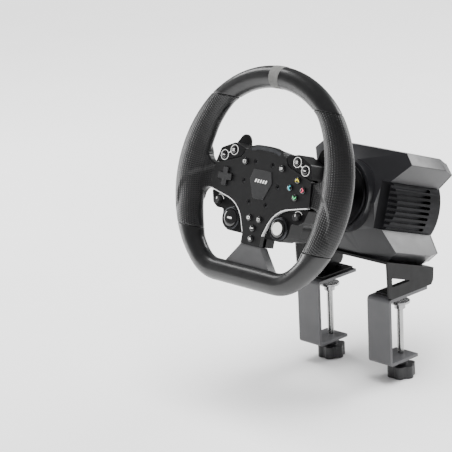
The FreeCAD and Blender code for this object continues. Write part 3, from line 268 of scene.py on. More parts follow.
@dataclass(frozen=True)
class Leather(Finish):
    """Wrapped leather: rounded pebbles over slow creases, which are wider and deeper."""

    crease_width: float = 9.0
    crease_depth: float = 4.0

    def relief(self, graph: Graph, where: bpy.types.NodeSocket) -> bpy.types.NodeSocket:
        """Normal of pebbles and creases together.

        Args:
            graph: The material's graph.
            where: Coordinates of the surface.

        Returns:
            The normal.
        """
        cells = graph.add("TexVoronoi",
                          {"feature": "SMOOTH_F1", "Scale": PER_METRE / self.grain_mm},
                          {"Vector": where})
        pebbles = graph.add("Bump", {"Distance": self.height_mm * MM, "invert": True},
                            {"Height": cells.outputs["Distance"]})
        creases = self.noise(graph, where, self.grain_mm * self.crease_width, 4.0)
        return graph.add("Bump", {"Distance": self.height_mm * self.crease_depth * MM},
                         {"Height": creases, "Normal": pebbles.outputs[0]}).outputs[0]


@dataclass(frozen=True)
class PerforatedLeather(Leather):
    """Leather punched with a square grid of small holes, laid along the wrap.

    A real punch is about 1 mm wide. The holes are drawn about 1.5 mm wide, twice 0.26 of their
    pitch, because finer ones don't show.
    """

    pitch_mm: float = 3.0
    hole: float = 0.26
    tint_edge: float = 0.06
    relief_edge: float = 0.16
    sunk_mm: float = 0.35
    inside: str = "#0B0B0C"

    def holes(self, graph: Graph, edge: float) -> bpy.types.NodeSocket:
        """Mask that is 0 in the holes and 1 on the leather.

        Args:
            graph: The material's graph.
            edge: Softness of the holes' edge, as a share of their pitch.

        Returns:
            The mask.
        """
        wrap = graph.add("UVMap", {"uv_map": WRAP_LAYER})
        scaled = graph.add("Mapping", {"Scale": (PER_METRE / self.pitch_mm,) * 3},
                           {"Vector": wrap.outputs[0]})
        grid = graph.add("TexVoronoi",
                         {"voronoi_dimensions": "2D", "Scale": 1.0, "Randomness": 0.0},
                         {"Vector": scaled.outputs[0]})
        fade = {"interpolation_type": "SMOOTHSTEP", "From Min": self.hole - edge,
                "From Max": self.hole + edge}
        return graph.add("MapRange", fade, {"Value": grid.outputs["Distance"]}).outputs[0]

    def tint(self, graph: Graph, where: bpy.types.NodeSocket) -> bpy.types.NodeSocket:
        """Leather tone, nearly black inside the holes.

        Args:
            graph: The material's graph.
            where: Coordinates of the surface.

        Returns:
            The colour.
        """
        leather = Leather.tint(self, graph, where)
        mix = graph.add("Mix", {"data_type": "RGBA"},
                        {MIX_FACTOR: self.holes(graph, self.tint_edge), MIX_SECOND: leather})
        mix.inputs[MIX_FIRST].default_value = linear(self.inside)
        return mix.outputs[MIX_RESULT]

    def relief(self, graph: Graph, where: bpy.types.NodeSocket) -> bpy.types.NodeSocket:
        """Normal of the pebbles with the sunken holes.

        Args:
            graph: The material's graph.
            where: Coordinates of the surface.

        Returns:
            The normal.
        """
        links = {"Height": self.holes(graph, self.relief_edge),
                 "Normal": Leather.relief(self, graph, where)}
        return graph.add("Bump", {"Distance": self.sunk_mm * MM}, links).outputs[0]


@dataclass(frozen=True)
class Turned(Finish):
    """Machined or drawn metal with fine lines round or along the part."""

    stretch: tuple[float, float, float] = (1.0, 1.0, 14.0)

    def relief(self, graph: Graph, where: bpy.types.NodeSocket) -> bpy.types.NodeSocket:
        """Normal of the tool marks: the grain pulled out in one direction.

        Args:
            graph: The material's graph.
            where: Coordinates of the surface.

        Returns:
            The normal.
        """
        pulled = graph.add("Mapping", {"Scale": self.stretch}, {"Vector": where})
        height = self.noise(graph, pulled.outputs[0], self.grain_mm, 2.0)
        return graph.add("Bump", {"Distance": self.height_mm * MM}, {"Height": height}).outputs[0]


# Soft wrapped leather: broad dull highlights along the tube.
RIM_LEATHER = Leather("smooth leather, wrapped", "leather", "#0F0F10", "#0B0B0C", (0.32, 0.42),
                      0.55, 0.02, 22.0, coat=0.25)
# Punched leather: the same hide, broken by rows of dark dots.
GRIP_LEATHER = PerforatedLeather("perforated leather, moulded wrap", "grip_leather", "#101011",
                                 "#0C0C0D", (0.32, 0.42), 0.55, 0.02, 20.0)
# Woven band: the pale centre mark, dull from every side.
MARKER = Finish("woven polyester band, sewn", "marker", "#6E6E6C", "#626260", (0.7, 0.85), 0.5,
                0.06, 3.0)
# Fine spark-eroded texture: deep black that stays even from all sides.
FACE_ABS = Finish("black ABS, fine textured", "black_plastic", "#0C0C0D", "#09090A", (0.40, 0.48),
                  0.22, 0.012, specular=0.3)
# Coarser texture on the shells behind the face: a little more sheen along their edges.
SHELL_ABS = Finish("black ABS, moulded satin", "black_plastic", "#0E0E0F", "#0B0B0C", (0.32, 0.42),
                   0.35, 0.016, specular=0.2)
# Satin grey cover: reads lighter than the face.
SPOKE_ABS = Finish("grey ABS, moulded satin", "spoke_cover", "#4A4A4B", "#434344", (0.36, 0.46),
                   0.3, 0.014)
# Painted die-cast shell: crisp facets with a silky reflection.
HOUSING_PAINT = Finish("die-cast aluminium, satin painted", "housing", "#1C1C1E", "#171719",
                       (0.28, 0.35), 0.5, 0.012, 30.0, specular=0.4, worn="#3A3A3C")
# Powder coat: slight orange peel on bent sheet, black on the bracket and grey on the clamps.
BRACKET_COAT = Finish("sheet steel, powder coated", "bracket", "#0C0C0D", "#09090A", (0.42, 0.52),
                      1.1, 0.03, 26.0, specular=0.22, worn="#2C2C2E")
CLAMP_COAT = Finish("strip steel, powder coated", "clamp_steel", "#4A4A4C", "#444446", (0.40, 0.50),
                    1.1, 0.03, 26.0, worn="#58585A")
# Anodised aluminium: dark, with a metal sheen; duller on the paddles, which were blasted first.
ANODISED = Turned("aluminium, black anodised", "fins", "#1C1C1E", "#161617", (0.34, 0.44), 0.3,
                  0.006, 18.0, metallic=1.0, worn="#4A4A4C")
PADDLE_COAT = Finish("aluminium sheet, black anodised", "paddle", "#0E0E0F", "#0A0A0B",
                     (0.38, 0.48), 0.3, 0.01, specular=0.25)
FRAME_COAT = Finish("aluminium plate, black anodised", "frame_plate", "#202022", "#19191B",
                    (0.36, 0.46), 0.3, 0.008, metallic=1.0)
# Bright zinc: the shiniest parts of the clamps.
ZINC = Turned("steel, zinc plated", "rod", "#A9A9A8", "#979797", (0.22, 0.28), 0.8, 0.001, 30.0,
              metallic=1.0)
# Bare turned and ground steel: bright, with fine lines left by the tool.
STEEL = Turned("steel, turned", "steel", "#A8A8A8", "#8E8E8F", (0.2, 0.32), 0.3, 0.005, 8.0,
               metallic=1.0)
SHAFT_STEEL = Turned("steel, ground", "magnet_steel", "#8F8F90", "#77777A", (0.2, 0.3), 0.3, 0.004,
                     8.0, metallic=1.0)
# Black oxide: a thin dark skin that rubs through to steel on the screws' edges.
BLACK_OXIDE = Finish("steel, black oxide", "screw", "#3A3A3C", "#2C2C2E", (0.28, 0.4), 0.3, 0.008,
                     4.0, metallic=1.0, worn="#8A8A8C")
# Wound wire: warm metal with close parallel lines.
COPPER = Turned("copper, wound wire", "copper", "#B87333", "#8A5425", (0.25, 0.35), 0.5, 0.08, 5.0,
                metallic=1.0)
# Heat-proof socket plastic: plain black with a dull skin.
SOCKET_PBT = Finish("black PBT, moulded", "socket", "#141415", "#0F0F10", (0.3, 0.42), 0.3, 0.01)
# Glass-filled nylon: dull grey with a faint fibre pattern.
KNOB_NYLON = Finish("glass-filled nylon, moulded", "knob", "#1F1F21", "#19191B", (0.30, 0.42), 0.6,
                    0.02, 8.0)
# Polished caps: small sharp highlights.
GLOSS_CAP = Finish("black ABS, polished", "button_black", "#121213", "#0D0D0E", (0.10, 0.17), 0.8,
                   0.002, 6.0, coat=0.6)
# Satin cap: charcoal that stands out from the black face.
SATIN_CAP = Finish("charcoal ABS, satin", "dpad", "#232324", "#1E1E1F", (0.34, 0.44), 0.25, 0.01,
                   6.0)
# Rubber: soft black that takes no highlight.
RUBBER_CAP = Finish("black rubber, moulded", "button_black", "#1B1B1C", "#141415", (0.5, 0.62),
                    0.25, 0.02, 6.0)
# Dark chrome: a mirror-like ring, darker than bare metal.
BEZEL = Finish("zinc alloy, dark chromed", "button_black", "#5C5D60", "#4E4F52", (0.14, 0.22), 0.5,
               0.002, 9.0, metallic=1.0)
# Lacquered badge: dark disc with an even satin gloss.
BADGE = Finish("aluminium badge, satin lacquered", "badge", "#2A2A2B", "#252526", (0.28, 0.36),
               0.3, 0.006, 9.0, coat=0.3)
# Acrylic: frosted it is an even white line, smoked and polished it is a dark glossy window.
LIGHT_PIPE = Finish("white acrylic, frosted", "light_guide", "#F7F7F7", "#EFEFEF", (0.28, 0.36),
                    0.3, 0.004, 9.0, ior=1.49)
ARCH_PIPE = Finish("smoked acrylic, polished", "light_guide", "#3A3B3D", "#323335", (0.08, 0.14),
                   0.5, 0.002, 9.0, ior=1.49)


def ink(name: str, slot: str, colour: str, shade: str,
        gloss: tuple[float, float] = (0.35, 0.45)) -> Finish:
    """Printed ink: a thin opaque coat, flat in colour with an almost even sheen."""
    return Finish(name + " ink, pad printed", slot, colour, shade, gloss, 0.2, 0.006, 3.0)


WHITE_PRINT = ink("white", "button_white", "#F2F2F0", "#E4E4E2", (0.4, 0.5))
YELLOW_INK = ink("yellow", "button_yellow", "#F0DE3E", "#E4D236")
CYAN_INK = ink("blue", "button_cyan", "#3FC6D6", "#38BACB")
RED_INK = ink("red", "button_red", "#EE5B77", "#E3506D")
GREEN_INK = ink("green", "button_green", "#55D487", "#4BC87C")
# Studio paper: matt, with nothing that draws the eye.
PAPER_FLOOR = Finish("seamless paper, matt", "", "#FAFAFA", "#F7F7F7", (0.85, 0.9), 1.0, 0.01,
                     400.0)

_materials: dict[str, bpy.types.Material] = {}


def material_of(finish: Finish) -> bpy.types.Material:
    """The material of a finish, made the first time that it is asked for.

    Args:
        finish: The finish.

    Returns:
        Its material.
    """
    if finish.name not in _materials:
        _materials[finish.name] = finish.build()
    return _materials[finish.name]


# ---------------------------------------------------------------- shapes

Point = tuple[float, float, float]
Flat = tuple[float, float]
Run = list[tuple[Vector, Vector]]
# Points closer than this, in metres, are one point.
WELD = 2e-6
# Edges that bend by more than this get a rounding; faces that bend by less are one flat face.
ROUNDED_ABOVE = 28.0
FLAT_BELOW = 0.4
# Radius of a turned outline where it meets its axis, in millimetres.
POLE = 1e-4


class Shape:
    """Vertices, faces and wrap coordinates in millimetres, gathered for one mesh."""

    def __init__(self) -> None:
        """Start empty."""
        self.points: list[Point] = []
        self.faces: list[tuple[int, ...]] = []
        self.wraps: dict[int, Flat] = {}

    def add(self, points: list[Point], faces: list[tuple[int, ...]]) -> None:
        """Append points and faces that count from the first of these points.

        Args:
            points: The points.
            faces: The faces.
        """
        start = len(self.points)
        self.points += [tuple(p) for p in points]
        self.faces += [tuple(start + i for i in face) for face in faces]

    def rings(self, rings: list[list[Point]], cap: bool = True, around: bool = True) -> None:
        """Skin a list of equal rings of points.

        Args:
            rings: The rings in order.
            cap: Close the first and last ring with a face.
            around: Join the last ring to the first instead of leaving ends.
        """
        count = len(rings[0])
        points = [p for ring in rings for p in ring]
        faces = []
        spans = len(rings) if not cap and around else len(rings) - 1
        for row in range(spans):
            nxt = (row + 1) % len(rings)
            for i in range(count):
                j = (i + 1) % count
                faces.append((row * count + i, row * count + j, nxt * count + j,
                              nxt * count + i))
        if cap:
            faces.append(tuple(reversed(range(count))))
            faces.append(tuple(range((len(rings) - 1) * count, len(rings) * count)))
        self.add(points, faces)

    def lathe(self, profile: list[Flat], x: float, y: float, segments: int,
              loop: bool = False) -> None:
        """Turn an outline about an axis along z.

        Args:
            profile: Radius and height of each point of the outline.
            x: Place of the axis.
            y: Place of the axis.
            segments: Points round each ring.
            loop: Close the outline on itself, for a ring with a hole.
        """
        rings = [[(x + max(radius, POLE) * math.cos(math.tau * i / segments),
                   y + max(radius, POLE) * math.sin(math.tau * i / segments), height)
                  for i in range(segments)] for radius, height in profile]
        self.rings(rings, cap=not loop, around=loop)

    def prism(self, outline: list[Flat], low: float, high: float) -> None:
        """Extrude an outline of the xy plane between two heights."""
        self.rings([[(x, y, low) for x, y in outline], [(x, y, high) for x, y in outline]])

    def block(self, x: float, y: float, wide: float, tall: float, low: float, high: float) -> None:
        """Extrude a rectangle given by its centre and its half width and half height."""
        self.prism([(x - wide, y - tall), (x + wide, y - tall), (x + wide, y + tall),
                    (x - wide, y + tall)], low, high)

    def band(self, line: list[Flat], width: float, low: float, high: float) -> None:
        """Extrude a strip of even width that follows an open line.

        Args:
            line: Points of its middle.
            width: Its width.
            low: Height of its underside.
            high: Height of its top.
        """
        left, right = [], []
        for index, point in enumerate(line):
            before = Vector(line[max(index - 1, 0)])
            after = Vector(line[min(index + 1, len(line) - 1)])
            along = (after - before).normalized()
            side = Vector((-along.y, along.x)) * (width / 2.0)
            left.append(tuple(Vector(point) + side))
            right.append(tuple(Vector(point) - side))
        self.prism(left + right[::-1], low, high)


def arc(x: float, y: float, radius: float, start: float, end: float, steps: int = 24) -> list[Flat]:
    """Points of an arc given in degrees."""
    angles = [math.radians(start + (end - start) * i / steps) for i in range(steps + 1)]
    return [(x + radius * math.cos(a), y + radius * math.sin(a)) for a in angles]


def mirrored(outline: list[Flat], side: Side) -> list[Flat]:
    """The outline on one hand; it is given for the right one."""
    return [(side.value * x, y) for x, y in outline]


def bent(start: Flat, corner: Flat, end: Flat, radius: float, steps: int = 16) -> list[Flat]:
    """Points of a line that turns once, with a round bend at its corner.

    Args:
        start: First point.
        corner: Where the two straight runs would meet.
        end: Last point.
        radius: Radius of the bend.
        steps: Steps round the bend.

    Returns:
        The points.
    """
    a, c, b = Vector(start), Vector(corner), Vector(end)
    u, v = (a - c).normalized(), (b - c).normalized()
    half = math.acos(max(-1.0, min(1.0, u.dot(v)))) / 2.0
    centre = c + (u + v).normalized() * (radius / math.sin(half))
    first = c + u * (radius / math.tan(half)) - centre
    last = c + v * (radius / math.tan(half)) - centre
    turn = math.atan2(first.x * last.y - first.y * last.x, first.dot(last))
    bend = [tuple(centre + Matrix.Rotation(turn * i / steps, 2) @ first)
            for i in range(steps + 1)]
    return [tuple(a)] + bend + [tuple(b)]


def settle(mesh: bpy.types.Mesh, sharp: float = 32.0) -> None:
    """Merge doubled points, turn the faces outwards and shade smooth between sharp edges.

    Args:
        mesh: The mesh.
        sharp: Angle in degrees beyond which an edge stays sharp.
    """
    work = bmesh.new()
    work.from_mesh(mesh)
    bmesh.ops.remove_doubles(work, verts=work.verts, dist=WELD)
    bmesh.ops.recalc_face_normals(work, faces=work.faces)
    work.to_mesh(mesh)
    work.free()
    mesh.polygons.foreach_set("use_smooth", [True] * len(mesh.polygons))
    mesh.set_sharp_from_angle(angle=math.radians(sharp))


def wear(piece: bpy.types.Object, finish: Finish, body: str) -> bpy.types.Object:
    """Give a piece its material and let it ride on a body.

    Args:
        piece: The piece.
        finish: Its surface finish.
        body: The body that it rides on.

    Returns:
        The piece.
    """
    piece.data.materials.clear()
    piece.data.materials.append(material_of(finish))
    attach(piece, body)
    return piece


def link(name: str, data: bpy.types.ID) -> bpy.types.Object:
    """A new object of the scene.

    Args:
        name: Name of the object.
        data: Its mesh, lamp or camera.

    Returns:
        The object.
    """
    piece = bpy.data.objects.new(name, data)
    bpy.context.scene.collection.objects.link(piece)
    return piece


def make(name: str, shape: Shape, finish: Finish, body: str,
         bevel: float = 0.0) -> bpy.types.Object:
    """Turn a shape of the head frame into a finished piece.

    Args:
        name: Name of the piece.
        shape: Its geometry in millimetres.
        finish: Its surface finish.
        body: The body that it rides on.
        bevel: Width of the rounding of its edges in millimetres.

    Returns:
        The piece.
    """
    mesh = bpy.data.meshes.new(name)
    mesh.from_pydata([tuple(HEAD @ Vector(p)) for p in shape.points], [], shape.faces)
    if shape.wraps:
        layer = mesh.uv_layers.new(name=WRAP_LAYER)
        for loop in mesh.loops:
            layer.data[loop.index].uv = shape.wraps.get(loop.vertex_index, (0.0, 0.0))
    settle(mesh)
    piece = link(name, mesh)
    if bevel > 0.0:
        round_edges(piece, bevel)
    return wear(piece, finish, body)


def round_edges(piece: bpy.types.Object, width: float, steps: int = 2) -> None:
    """Round a piece's edges with a bevel whose normals stay flat on its faces, and apply it.

    Args:
        piece: The piece.
        width: Width of the rounding in millimetres.
        steps: Steps across each rounding.
    """
    bevel = piece.modifiers.new("rounding", "BEVEL")
    bevel.width = width * MM
    bevel.segments = steps
    bevel.limit_method = "ANGLE"
    bevel.angle_limit = math.radians(ROUNDED_ABOVE)
    bevel.miter_outer = "MITER_ARC"
    bevel.harden_normals = True
    piece.data.polygons.foreach_set("use_smooth", [True] * len(piece.data.polygons))
    apply(piece)


def apply(piece: bpy.types.Object) -> None:
    """Replace a piece's mesh by the result of its modifiers.

    Args:
        piece: The piece.
    """
    graph = bpy.context.evaluated_depsgraph_get()
    mesh = bpy.data.meshes.new_from_object(piece.evaluated_get(graph))
    old = piece.data
    piece.modifiers.clear()
    piece.data = mesh
    bpy.data.meshes.remove(old)


@dataclass(frozen=True)
class Skin:
    """A machined or moulded CAD node whose edges get their real rounding.

    The node's own flat faces are merged first, so the rounding runs cleanly along each edge.
    """

    node: str
    finish: Finish
    edge: float = 0.4
    steps: int = 2

    def build(self) -> bpy.types.Object:
        """Make the rounded copy and let it stand for the node.

        Returns:
            The piece.
        """
        work = bmesh.new()
        work.from_mesh(frame["nodes"][self.node].data)
        bmesh.ops.remove_doubles(work, verts=work.verts, dist=WELD)
        bmesh.ops.dissolve_limit(work, angle_limit=math.radians(FLAT_BELOW), verts=work.verts,
                                 edges=work.edges)
        points = [tuple(v.co) for v in work.verts]
        work.verts.index_update()
        faces = [tuple(v.index for v in face.verts) for face in work.faces]
        work.free()
        mesh = bpy.data.meshes.new(self.node + "_skin")
        mesh.from_pydata(points, [], faces)
        piece = link(self.node + "_skin", mesh)
        round_edges(piece, self.edge, self.steps)
        wear(piece, self.finish, BODY_OF[self.node])
        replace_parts(piece, self.node)
        return piece


def build_skins(skins: tuple[Skin, ...]) -> None:
    """Make rounded copies and report each.

    Args:
        skins: The nodes with their finishes and roundings.
    """
    for skin in skins:
        LOG.info("%s: %s", skin.build().name, skin.finish.name)


def paint(node: str, finish: Finish) -> None:
    """Give a CAD node that stays as it is its material.

    Args:
        node: The node.
        finish: Its surface finish.
    """
    data = frame["nodes"][node].data
    data.materials.clear()
    data.materials.append(material_of(finish))


# ---------------------------------------------------------------- rim

@dataclass
class RimSizes:
    """Dimensions of the rim in the head frame, in millimetres and degrees.

    The seams are the grips' ends and the cuts are where the smooth leather meets them. The
    stations give the grip's swelling: the part of the way down it, and the share of its bulge.
    The lean is how far from a cut its slant fades out.
    """

    radius: float = 126.7
    tube: float = 13.3
    depth: float = -2.0
    flat: float = 111.0
    corner: float = 45.0
    corner_steps: int = 14
    flat_steps: int = 24
    seam_upper: float = 46.0
    seam_lower: float = 41.0
    cut_upper: float = 49.5
    cut_lower: float = 33.0
    lean: float = 42.0
    bulge: float = 17.0
    stations: tuple[Flat, ...] = ((0.0, 0.0), (0.1, 0.3), (0.23, 0.66), (0.4, 0.95), (0.55, 1.0),
                                  (0.7, 0.93), (0.82, 0.66), (0.92, 0.32), (1.0, 0.12),
                                  (1.12, 0.0))


@dataclass
class SeamSizes:
    """Rolled ends of the leather and the band over the top joint."""

    roll: float = 0.9
    roll_marks: tuple[float, ...] = (0.0, 0.12, 0.35, 0.65, 1.0)
    roll_depth: float = 0.55
    slant_power: float = 1.5
    band_half: float = 3.4
    band_rise: float = 0.35
    band_roll: float = 0.5


@dataclass
class WebSizes:
    """The flat web between a grip and the faceplate, given for the right grip."""

    low: float = -12.5
    high: float = -1.5
    root: float = 75.5
    root_upper: float = 13.6
    root_lower: float = -15.0
    upper_fillet: tuple[float, ...] = (82.0, 27.8, 13.9, -89.0, -8.0)
    lower_fillet: tuple[float, ...] = (84.0, -29.0, 12.4, 6.0, 90.0)
    outer: tuple[Flat, ...] = ((98.5, 31.0), (112.0, 31.0), (112.0, -33.0), (97.2, -33.0))

    def outline(self) -> list[Flat]:
        """Points round the web.

        Returns:
            The outline of the right web.
        """
        steps = 10
        line = [(self.root, self.root_upper)] + arc(*self.upper_fillet, steps) + list(self.outer)
        return line + arc(*self.lower_fillet, steps) + [(self.root, self.root_lower)]


@dataclass
class HollowSizes:
    """The thumb hollow of a grip: its crease, given for the right grip, and how it is pressed in.

    The hollow is deepest a rise away from the crease and runs out a reach away from it. Towards
    its lower end it fades in over a distance, and so it does towards the grip's side.
    """

    crease: tuple[Flat, ...] = ((79.0, 14.5), (90.0, 9.5), (102.0, 4.0), (114.0, -3.5),
                                (122.0, -14.5), (126.0, -26.0), (125.5, -42.0))
    deep: float = 2.0
    rise: float = 7.0
    reach: float = 30.0
    top: float = 20.0
    end: float = -60.0
    fade_from: float = -58.0
    fade_over: float = 22.0
    side_depth: float = -4.0
    side_over: float = 4.0


@dataclass
class SteeringRim:
    """The wrapped rim: two smooth stretches, two moulded grips and the centre band."""

    sizes: RimSizes = field(default_factory=RimSizes)
    seam: SeamSizes = field(default_factory=SeamSizes)
    web: WebSizes = field(default_factory=WebSizes)
    hollow: HollowSizes = field(default_factory=HollowSizes)

    def circle(self, start: float, end: float, step: float = 1.6) -> Run:
        """Centre points and outward directions along the round part.

        Args:
            start: First angle in degrees.
            end: Last angle.
            step: Angle between points.

        Returns:
            The run.
        """
        count = max(int(abs(end - start) / step), 8)
        angles = [math.radians(start + (end - start) * i / count) for i in range(count + 1)]
        return [(Vector((math.cos(a), math.sin(a))) * self.sizes.radius,
                 Vector((math.cos(a), math.sin(a)))) for a in angles]

    def bottom(self) -> Run:
        """Centre points and outward directions round both corners and along the flat.

        Returns:
            The run from the left grip to the right one.
        """
        s = self.sizes
        middle_y = s.corner - s.flat
        middle_x = math.sqrt((s.radius - s.corner) ** 2 - middle_y ** 2)
        turn = math.degrees(math.atan2(-middle_y, middle_x))
        run = self.circle(180.0 + s.cut_lower, 180.0 + turn)
        for x, start, end in ((-middle_x, 180.0 + turn, 270.0), (middle_x, 270.0, 360.0 - turn)):
            for i in range(1, s.corner_steps + 1):
                a = math.radians(start + (end - start) * i / s.corner_steps)
                out = Vector((math.cos(a), math.sin(a)))
                run.append((Vector((x, middle_y)) + out * s.corner, out))
            if x < 0:
                for i in range(1, s.flat_steps):
                    along = -middle_x + 2.0 * middle_x * i / s.flat_steps
                    run.append((Vector((along, -s.flat)), Vector((0.0, -1.0))))
        return run + self.circle(360.0 - turn, 360.0 - s.cut_lower)[1:]

    def swollen(self, run: Run) -> tuple[Run, list[Flat]]:
        """Add the grips' swelling between the grips' ends.

        Args:
            run: Centre points and outward directions of the plain tube.

        Returns:
            The moved run, and the half width and half thickness at each point.
        """
        s = self.sizes
        moved, widths = [], []
        for centre, out in run:
            angle = math.degrees(math.atan2(centre.y, abs(centre.x)))
            part = (s.seam_upper - angle) / (s.seam_upper + s.seam_lower)
            share = self.swell(part) if 0.0 < part < s.stations[-1][0] else 0.0
            moved.append((centre - out * (share * s.bulge / 2.0), out))
            widths.append((s.tube + share * s.bulge / 2.0, s.tube))
        return moved, widths

    def marks(self, lengths: list[float], roll: float) -> list[float]:
        """Places of the rings along a run, closer together where its ends roll in.

        Args:
            lengths: Length of the run up to each of its points.
            roll: Length of the rolled edge.

        Returns:
            The places.
        """
        total = lengths[-1]
        ends = [part * roll for part in self.seam.roll_marks]
        return sorted(set(ends + [total - e for e in ends]
                          + [x for x in lengths if roll < x < total - roll]))

    def sweep(self, run: Run, widths: list[Flat], roll: float, level: bool = True,
              around: int = 56) -> Shape:
        """Skin the tube along a run; its ends roll in like a glued leather seam.

        Args:
            run: Centre points and outward directions.
            widths: Half width and half thickness at each point.
            roll: Length of the rolled edge.
            level: Let both ends lie on a level line instead of straight across the tube.
            around: Points round the tube.

        Returns:
            The tube with its wrap coordinates.
        """
        s = self.sizes
        lengths = [0.0]
        for before, after in zip(run, run[1:]):
            lengths.append(lengths[-1] + (after[0] - before[0]).length)
        shape = Shape()
        rings = []
        total = lengths[-1]
        for row, mark in enumerate(self.marks(lengths, roll)):
            i = min(max(int(np.searchsorted(lengths, mark)) - 1, 0), len(run) - 2)
            t = (mark - lengths[i]) / (lengths[i + 1] - lengths[i])
            centre = run[i][0].lerp(run[i + 1][0], t)
            out = run[i][1].lerp(run[i + 1][1], t).normalized()
            wide = widths[i][0] + (widths[i + 1][0] - widths[i][0]) * t
            thick = widths[i][1] + (widths[i + 1][1] - widths[i][1]) * t
            near = min(mark, total - mark)
            bend = 1.0 - math.sqrt(max(0.0, 1.0 - (1.0 - min(near / roll, 1.0)) ** 2))
            inset = self.seam.roll_depth * bend
            seam = run[0][1] if mark < total / 2.0 else run[-1][1]
            fade = max(0.0, 1.0 - near / s.lean) ** self.seam.slant_power if level else 0.0
            ring = []
            for k in range(around):
                angle = math.tau * k / around
                radial = (wide - inset) * math.cos(angle)
                point = centre + out * radial
                slide = -seam.y / seam.x * radial * fade / point.length if level else 0.0
                point = Matrix.Rotation(slide, 2) @ point
                ring.append((point.x, point.y, s.depth + (thick - inset) * math.sin(angle)))
                shape.wraps[row * around + k] = (mark * MM, angle * s.tube * MM)
            rings.append(ring)
        shape.rings(rings)
        return shape

    def stretches(self) -> None:
        """The upper and the lower smooth stretch and the centre band."""
        s, seam = self.sizes, self.seam
        for name, run in (("rim_wrap_upper", self.circle(s.cut_upper, 180.0 - s.cut_upper)),
                          ("rim_wrap_lower", self.bottom())):
            leather = self.sweep(*self.swollen(run), seam.roll)
            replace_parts(make(name + "_leather", leather, RIM_LEATHER, "wheel"), name)
            LOG.info("%s_leather: %s", name, RIM_LEATHER.name)
        run = self.circle(90.0 - seam.band_half, 90.0 + seam.band_half, 0.5)
        half = s.tube + seam.band_rise
        band = self.sweep(run, [(half, half)] * len(run), seam.band_roll, level=False)
        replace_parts(make("centre_band", band, MARKER, "wheel"), "centre_marker")
        LOG.info("centre_band: %s", MARKER.name)

    def swell(self, part: float) -> float:
        """Share of the grip's bulge at a part of the way down it."""
        places, shares = zip(*self.sizes.stations)
        return float(np.interp(part, places, shares))

    def centre_line(self, angle: float) -> tuple[float, float, float]:
        """The grip's tube at an angle.

        Args:
            angle: Angle round the rim in degrees.

        Returns:
            Centre radius, half width and half thickness.
        """
        s = self.sizes
        part = (s.seam_upper - angle) / (s.seam_upper + s.seam_lower)
        share = self.swell(min(max(part, 0.0), s.stations[-1][0]))
        return s.radius - share * s.bulge / 2.0, s.tube + share * s.bulge / 2.0, s.tube

    def grip(self, side: Side) -> None:
        """One moulded grip with its web, blended into a single skin.

        Args:
            side: Which grip.
        """
        s = self.sizes
        run, widths = self.swollen(self.circle(s.cut_upper, -s.cut_lower, 1.0))
        shape = self.sweep(run, widths, self.seam.roll)
        shape.prism(self.web.outline(), self.web.low, self.web.high)
        points = [(p[0] * side.value, p[1], p[2]) for p in shape.points]
        mesh = bpy.data.meshes.new("grip_block")
        mesh.from_pydata(points, [], shape.faces)
        settle(mesh)
        piece = link("grip_%s_leather" % side.word, mesh)
        remesh = piece.modifiers.new("skin", "REMESH")
        remesh.mode = "VOXEL"
        remesh.voxel_size = 1.0
        smooth = piece.modifiers.new("blend", "SMOOTH")
        smooth.factor = 0.5
        smooth.iterations = 14
        apply(piece)
        self.sculpt(piece.data)
        self.unroll(piece.data)
        piece.data.transform(HEAD)
        settle(piece.data, 60.0)
        wear(piece, GRIP_LEATHER, "wheel")
        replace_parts(piece, "grip_" + side.word)
        LOG.info("%s: %s", piece.name, GRIP_LEATHER.name)

    def sculpt(self, mesh: bpy.types.Mesh) -> None:
        """Press the thumb hollow in below the crease that runs from the web into the grip.

        Args:
            mesh: The grip's mesh, in millimetres.
        """
        h = self.hollow
        line = [Vector(p) for p in h.crease]
        for vertex in mesh.vertices:
            x, y, z = abs(vertex.co.x), vertex.co.y, vertex.co.z
            if z < h.side_depth or not h.end < y < h.top:
                continue
            distance, inside = math.inf, False
            for a, b in zip(line, line[1:]):
                along = b - a
                t = (Vector((x, y)) - a).dot(along) / along.length_squared
                t = min(max(t, 0.0), 1.0)
                gap = Vector((x, y)) - (a + along * t)
                if gap.length < distance:
                    distance = gap.length
                    inside = along.x * gap.y - along.y * gap.x < 0.0
            if not inside:
                continue
            rise = min(distance / h.rise, 1.0)
            fade = max(0.0, 1.0 - distance / h.reach)
            fade *= min(max((y - h.fade_from) / h.fade_over, 0.0), 1.0)
            front = min(max((z - h.side_depth) / h.side_over, 0.0), 1.0)
            vertex.co.z -= h.deep * rise * rise * (3.0 - 2.0 * rise) * fade * front

    def unroll(self, mesh: bpy.types.Mesh) -> None:
        """Lay wrap coordinates along and round the grip, with their join at the back.

        Args:
            mesh: The grip's mesh, in millimetres.
        """
        layer = mesh.uv_layers.new(name=WRAP_LAYER)
        laid = []
        for vertex in mesh.vertices:
            x, y, z = abs(vertex.co.x), vertex.co.y, vertex.co.z
            angle = math.degrees(math.atan2(y, x))
            radius, wide, thick = self.centre_line(angle)
            mean = (wide + thick) / 2.0
            across = math.hypot(x, y) - radius
            turn = math.atan2(across / wide, (z - self.sizes.depth) / thick)
            if across < -wide and abs(turn) < math.pi:
                down = -math.pi / 2.0 * mean + across + wide
                laid.append((math.radians(angle) * radius * MM, down * MM))
            else:
                laid.append((math.radians(angle) * self.sizes.radius * MM, turn * mean * MM))
        for face in mesh.polygons:
            loops = list(face.loop_indices)
            values = [laid[mesh.loops[i].vertex_index] for i in loops]
            first = values[0][1]
            period = math.tau * self.sizes.tube * MM
            for i, (u, v) in zip(loops, values):
                while v - first > period / 2.0:
                    v -= period
                while first - v > period / 2.0:
                    v += period
                layer.data[i].uv = (u, v)

    def build(self) -> None:
        """Make every part of the rim."""
        self.stretches()
        for side in Side:
            self.grip(side)


# ---------------------------------------------------------------- button box

